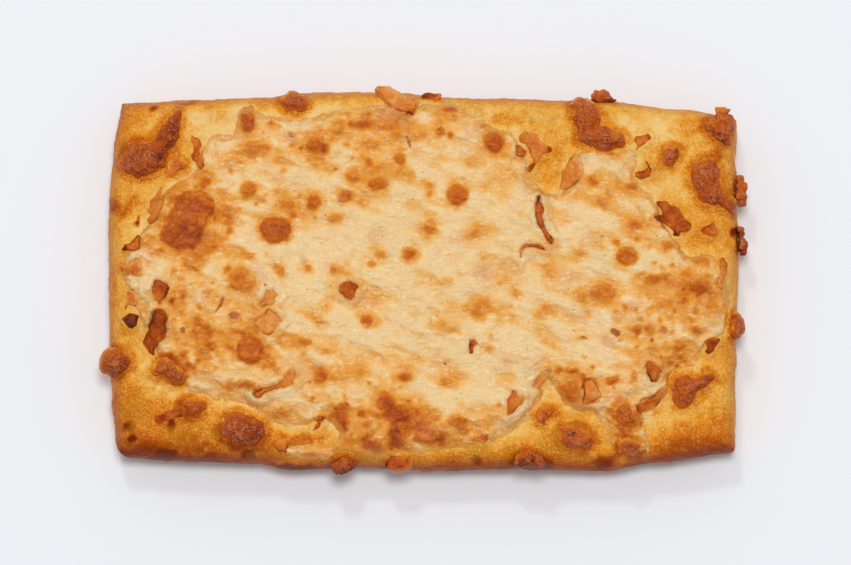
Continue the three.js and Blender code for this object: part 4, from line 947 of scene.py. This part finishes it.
def browning(points):  # how brown the cheese is and how far it is lifted
    torn = shifted(points, 0.5, 3.2, 41)
    torn = torn + 0.15 * np.stack([waves(points, 0.9, 43), waves(points, 0.9, 44)], -1)
    domes = cheese["domes"]
    haloStrong, haloWide = cheese["halo"]
    toast = np.zeros(len(points))
    lift = np.zeros(len(points))
    mottle = rough(points, 1.8, 45)
    for x, y, long, wide, dark, *turn in cheese["blisters"]:
        near = within(points, x, y, 16)
        away = inEllipse(torn[near], x, y, long, wide, *turn)
        size = min(long, wide)
        edge = min(1.2, (1.3 + 2.2 * max(0, 0.88 - dark)) / size)  # a dark place ends more sharply
        dark = float(np.interp(dark, (0, 0.5, 0.7, 0.85, 1), (0, 0.42, 0.54, 0.7, 0.77)))
        middle = 0.8 + 0.2 * smooth((0.95 - away) / 0.7)
        core = dark * middle * smooth((1.06 + edge / 2 - away) / edge) * (1 + 0.12 * mottle[near])
        halo = haloStrong * math.sqrt(dark) * smooth(1 - (away - 1) * size / haloWide)
        toast[near] = np.maximum(toast[near], np.maximum(core, halo))
        dome = domes["rise"] * size * math.sqrt(dark) * smooth((1.2 - away) / 0.9)
        lift[near] = np.maximum(lift[near], domes["most"] * (1 - np.exp(-dome / domes["ease"])))
    zones = marks(torn, cheese["golden"], 1.3, 46) * (0.95 + 0.8 * rough(points, 3.6, 47))
    zones += 0.03 + 0.1 * rough(points, 7, 77)
    freckles = 0.24 * dots(torn, 2.9, 0.3, 48) * smooth((zones + 0.05 * rough(points, 5, 49)) / 0.2)
    toast = np.maximum(toast, zones + freckles) + 0.25 * np.minimum(toast, zones) * (toast < 0.6)
    return toast, lift


# the cheese's height over the dough, its depth with a ragged border, and its small and long folds alone
def cheeseRelief(points, depth, toast, lift, veils, creases):
    ragged = depth + 0.6 * rough(points, 2.6, 51) + 0.25 * waves(points, 0.9, 52)
    rim = cheese["rim"] * smooth(0.25 + ragged / 3)
    body = cheese["body"] * smooth(ragged / cheese["taper"])
    sunk = np.clip(ragged / 0.6, -1, 0)
    over = smooth(ragged / 2)
    # the folds run one way and wander
    style = cheese["folds"]
    loose = points + 2.2 * np.stack([rough(points, 13, 53, 2), rough(points, 13, 54, 2)], -1)
    loose = loose + 0.5 * np.stack([waves(points, 2.4, 65), waves(points, 2.4, 66)], -1)
    folds = np.stack(turned(loose[:, 0], loose[:, 1], cheese["flow"], style["long"], 1), -1)
    crest = rough(folds, style["wide"], 55, 2)
    relief = 0.6 * rough(points, 6.5, 56, 2) + style["high"] * crest + 0.1 * pillow(folds, 3.4, 57)
    relief += 0.22 * rough(points, 2.4, 75, 2) + 0.05 * rough(points, 0.9, 60, 2)
    # browned skin is wrinkled
    skin = 0.5 * pillow(shifted(points, 0.5, 1.6, 67), 1.6, 58) + 0.12 * rough(points, 0.8, 78, 2)
    wrinkle = smooth((toast - 0.4) / 0.3) * skin
    dents = -0.5 * veils - 0.5 * creases
    small = relief * 0.95 + wrinkle + dents
    return rim + body + sunk + over * (small + lift), ragged, small * over, crest * over


def creaseMarks(points):  # 1 along the listed creases
    total = np.zeros(len(points))
    wavy = shifted(points, 0.4, 2, 68)
    for x1, y1, x2, y2, half in cheese["creases"]:
        way = np.array([x2 - x1, y2 - y1])
        share = np.clip(((wavy - [x1, y1]) @ way) / (way @ way), 0, 1)
        away = np.linalg.norm(wavy - [x1, y1] - share[:, None] * way, axis=1)
        total = np.maximum(total, smooth(1.5 - away / half) * smooth(4 * np.minimum(share, 1 - share) + 0.3))
    return total


def buildCheese():
    step = cheese["step"]
    xs, ys = (np.arange(-reach, reach, step) for reach in cheese["reach"])
    flat = np.stack(np.meshgrid(xs, ys), -1).reshape(-1, 2)
    depth = cheeseDepth(flat)
    toast, lift = browning(flat)
    veils = marks(flat, cheese["veils"], 0.7, 69)
    creases = creaseMarks(flat)
    relief, ragged, small, crest = cheeseRelief(flat, depth, toast, lift, veils, creases)

    # the grid's cells that the cheese covers
    shape = (len(ys), len(xs))
    inside = (ragged > -0.8).reshape(shape)
    cells = inside[:-1, :-1] & inside[1:, :-1] & inside[:-1, 1:] & inside[1:, 1:]
    near = (depth > -2.5).reshape(shape)
    cells &= near[:-1, :-1]
    at = np.arange(flat.shape[0]).reshape(shape)
    quads = np.stack([at[:-1, :-1], at[:-1, 1:], at[1:, 1:], at[1:, :-1]], -1)[cells]

    # the underside has the cells' own border, and wide triangles between coarse points
    edges = np.concatenate([quads[:, [k, (k + 1) % 4]] for k in range(4)])
    known = set(map(tuple, edges.tolist()))
    border = sorted((a, b) for a, b in known if (b, a) not in known)
    rim = sorted({a for edge in border for a in edge})
    onRim = set(rim)
    coarse = [int(i) for i in at[::9, ::9].ravel() if depth[i] > 1.5 and i not in onRim]
    floorIds = rim + coarse
    order = {i: k for k, i in enumerate(floorIds)}
    made = geometry.delaunay_2d_cdt(
        [Vector(flat[i]) for i in floorIds], [(order[a], order[b]) for a, b in border], [], 0, 1e-6
    )
    used = np.unique(quads)
    renumber = -np.ones(len(flat), int)
    renumber[used] = np.arange(len(used))
    collarHigh, collarWide = cheese["collar"]
    top = doughTop(flat) + relief + collarHigh * beside("crisp", flat, collarWide) * smooth(ragged / 2)
    # it climbs the sides of the chicken and laps over its border here and there
    meat = plots["chicken"]
    climb = beside("chicken", flat, cheese["climb"]) * smooth(1 - meat.read(meat.inside, flat) / 1.1)
    level = meat.read(meat.top, flat) - 0.1 + 0.9 * rough(flat, 1.9, 76, 2)
    top += np.clip(level - top, 0, 3) * climb * smooth(ragged / 1.5)
    top = top[used]
    points = [np.column_stack([flat[used], top])]
    faces = renumber[quads].tolist()
    under = flat[floorIds]
    points.append(np.column_stack([under, doughTop(under) - cheese["under"]]))
    first = len(used)
    original = [ids[0] for ids in made[3]]
    for tri in made[2]:
        corners = [original[k] for k in tri]
        middle = under[corners].mean(0)
        column = int((middle[0] - xs[0]) // step)
        row = int((middle[1] - ys[0]) // step)
        if cells[row, column]:
            faces.append([first + k for k in reversed(corners)])
    for a, b in border:
        faces.append([renumber[b], renumber[a], first + order[a], first + order[b]])
    faces = [list(map(int, f)) for f in faces]

    pink = marks(flat, cheese["pinks"], 0.9, 61) * (0.8 + 0.4 * rough(flat, 1.6, 62, 2))
    pink += 0.2 * beside("chicken", flat, 1.4)
    scrap = np.maximum(marks(flat, cheese["scraps"], 0.5, 63), 0.9 * creases)
    # thin at its lip, and a translucent film along it
    lip = smooth(1 - (ragged + 0.8 * rough(flat, 3, 64)) / 2.4)
    thin = np.maximum(0.12 * lip * (0.5 + rough(flat, 5, 70)), veils)
    thin += 0.2 * smooth((rough(flat, 5, 71) - 0.25) / 0.4) * smooth(1 - toast / 0.3)
    film = smooth(1 - (ragged + 1.2 * rough(flat, 5, 42, 2) - 0.2) / 2) * (ragged < 6)
    # browner round what lies on it and at its lip
    toast = toast + 0.36 * beside("crisp", flat, 1.8, 0.6 * rough(flat, 1.8, 72, 2))
    toast += 0.06 * beside("chicken", flat, 1.2) + 0.08 * rough(flat, 8, 73)
    toast += 0.2 * lip * smooth(0.5 + rough(flat, 4, 74))
    # painted shade and painted light: darker on slopes of folds and domes that face the front and in hollows,
    # paler on slopes that face the back and on the crests of the folds
    slope, rise = (np.gradient(a.reshape(shape), step, axis=0).ravel() for a in (small, lift))
    steep = 0.12 * np.clip(slope, -1, 1) + 0.09 * np.tanh(0.8 * rise)
    toast += steep * (ragged > 1) - 0.1 * np.clip(small, -0.6, 0.8)
    toast -= (0.02 + 0.24 * crest) * smooth(1.3 - toast / 0.35)
    bare = smooth((ragged - 1) / 2)  # where dark flecks may lie
    kinds = {"toast": toast, "pink": pink, "thin": thin, "scrap": scrap, "film": film, "bare": bare}
    attributes = {}
    for key, values in kinds.items():
        attributes[key] = np.concatenate([values[used], values[floorIds] * (key != "bare")])
    mesh = meshOf("cheeseSheet", np.concatenate(points), faces, attributes)
    return addPiece("cheeseSheet", mesh, ["cheese_sheet"], finishes["cheese"])


print("dough")
doughPiece = buildDough()
print("cheese")
cheesePiece = buildCheese()

# Small things scattered over the surfaces

scatters = {
    "flourGrain": {"on": doughPiece, "finish": "flour", "slot": "baked dough", "perSquareMetre": 1.6e5,
                   "low": 0.07, "high": 0.15, "flat": 0.45, "seed": 11},
    "herbFleck": {"on": cheesePiece, "finish": "herb", "slot": "melted cheese", "perSquareMetre": 1.3e4,
                  "low": 0.09, "high": 0.2, "flat": 0.5, "seed": 12},
}


def scatterTree(name):  # small stones standing where the attribute bare allows
    tree = bpy.data.node_groups.new(name, "GeometryNodeTree")
    tree.interface.new_socket("Geometry", in_out="OUTPUT", socket_type="NodeSocketGeometry")
    sockets = {
        "Geometry": "Geometry", "Density": "Float", "Low": "Float", "High": "Float", "Flat": "Float",
        "Seed": "Int", "Finish": "Material",
    }
    for label, kind in sockets.items():
        tree.interface.new_socket(label, in_out="INPUT", socket_type="NodeSocket" + kind)

    def node(kind, inputs, **settings):
        return addNode(tree, kind, settings, inputs).outputs

    given = node("NodeGroupInput", {})
    bare = node("GeometryNodeInputNamedAttribute", {"Name": "bare"}, data_type="FLOAT")["Attribute"]
    density = node("ShaderNodeMath", {0: given["Density"], 1: bare}, operation="MULTIPLY")[0]
    sown = node(
        "GeometryNodeDistributePointsOnFaces",
        {"Mesh": given["Geometry"], "Density": density, "Seed": given["Seed"]}, distribute_method="RANDOM",
    )
    stone = node("GeometryNodeMeshIcoSphere", {"Radius": 1.0, "Subdivisions": 1})["Mesh"]
    sizes = {2: given["Low"], 3: given["High"], "Seed": given["Seed"]}
    size = node("FunctionNodeRandomValue", sizes, data_type="FLOAT")[1]
    height = node("ShaderNodeMath", {0: size, 1: given["Flat"]}, operation="MULTIPLY")[0]
    scale = node("ShaderNodeCombineXYZ", {"X": size, "Y": size, "Z": height})[0]
    placed = node(
        "GeometryNodeInstanceOnPoints",
        {"Points": sown["Points"], "Instance": stone, "Rotation": sown["Rotation"], "Scale": scale},
    )[0]
    real = node("GeometryNodeRealizeInstances", {"Geometry": placed})[0]
    painted = node("GeometryNodeSetMaterial", {"Geometry": real, "Material": given["Finish"]})[0]
    node("NodeGroupOutput", {"Geometry": painted})
    return tree


def scatter(name, style, tree):
    bed = style["on"].copy()
    bpy.context.scene.collection.objects.link(bed)
    sown = bed.modifiers.new("scatter", "NODES")
    sown.node_group = tree
    values = {
        "Density": style["perSquareMetre"], "Low": style["low"] * mm, "High": style["high"] * mm,
        "Flat": style["flat"], "Seed": style["seed"], "Finish": finishes[style["finish"]],
    }
    for item in tree.interface.items_tree:
        if item.in_out == "INPUT" and item.name in values:
            sown[item.identifier] = values[item.name]
    mesh = bpy.data.meshes.new_from_object(bed.evaluated_get(bpy.context.evaluated_depsgraph_get()))
    bpy.data.objects.remove(bed)
    shadeSmooth(mesh)
    print(name, len(mesh.polygons), "faces")
    return addPiece(name, mesh, [], None)


print("scattered grains")
stones = scatterTree("scatterStones")
for name, style in scatters.items():
    scatter(name, style, stones)

# The table, light and camera

studio = {
    "floor": {"side": 3.0, "colour": (244, 248, 254), "roughness": 0.8, "shine": 0.1},
    "world": {"strength": 0.42, "colour": (1, 0.975, 0.94, 1)},
    "lampColour": (0.99, 1, 1),
    "lamps": {
        "above": {"strength": 21, "size": 0.45, "place": (0.04, 0.22, 2.2)},
        "side": {"strength": 6, "size": 0.26, "place": (-0.3, 1.1, 1.9)},
    },
    # aim and the width that the picture shows there are in millimetres
    "camera": {"distance": 1.6, "elevation": 86.0, "aim": (0.4, -0.1, 14.0), "width": 212.75},
}


def buildStudio():
    style = studio["floor"]
    half = style["side"] / 2
    corners = [(-half, -half, 0), (half, -half, 0), (half, half, 0), (-half, half, 0)]
    mesh = bpy.data.meshes.new("floor")
    mesh.from_pydata(corners, [], [(0, 1, 2, 3)])
    paint = Paint("paleTable", shine=style["shine"])
    paint.shader.inputs["Base Color"].default_value = linear(*style["colour"])
    paint.shader.inputs["Roughness"].default_value = style["roughness"]
    mesh.materials.append(paint.material)
    addObject("floor", mesh)

    world = bpy.data.worlds.new("studio")
    world.use_nodes = True
    sky = world.node_tree.nodes["Background"]
    sky.inputs["Color"].default_value = studio["world"]["colour"]
    sky.inputs["Strength"].default_value = studio["world"]["strength"]
    bpy.context.scene.world = world
    bpy.context.scene.view_settings.view_transform = "Standard"

    for name, given in studio["lamps"].items():
        lamp = bpy.data.lights.new(name, "AREA")
        lamp.shape = "DISK"
        lamp.size = given["size"]
        lamp.energy = given["strength"]
        lamp.color = studio["lampColour"]
        light = addObject(name, lamp)
        light.location = given["place"]
        light.rotation_euler = (-Vector(given["place"])).to_track_quat("-Z", "Y").to_euler()

    view = studio["camera"]
    lens = bpy.data.cameras.new("camera")
    camera = addObject("camera", lens)
    aim = Vector((view["aim"][0] + shiftX, view["aim"][1] + shiftY, view["aim"][2])) * mm
    up = math.radians(view["elevation"])
    back = Vector((0, -math.cos(up), math.sin(up)))
    camera.location = aim + back * view["distance"]
    camera.rotation_euler = (-back).to_track_quat("-Z", "Y").to_euler()
    lens.lens = lens.sensor_width * view["distance"] / (view["width"] * mm)
    lens.clip_start = 0.01
    bpy.context.scene.camera = camera


print("studio")
buildStudio()
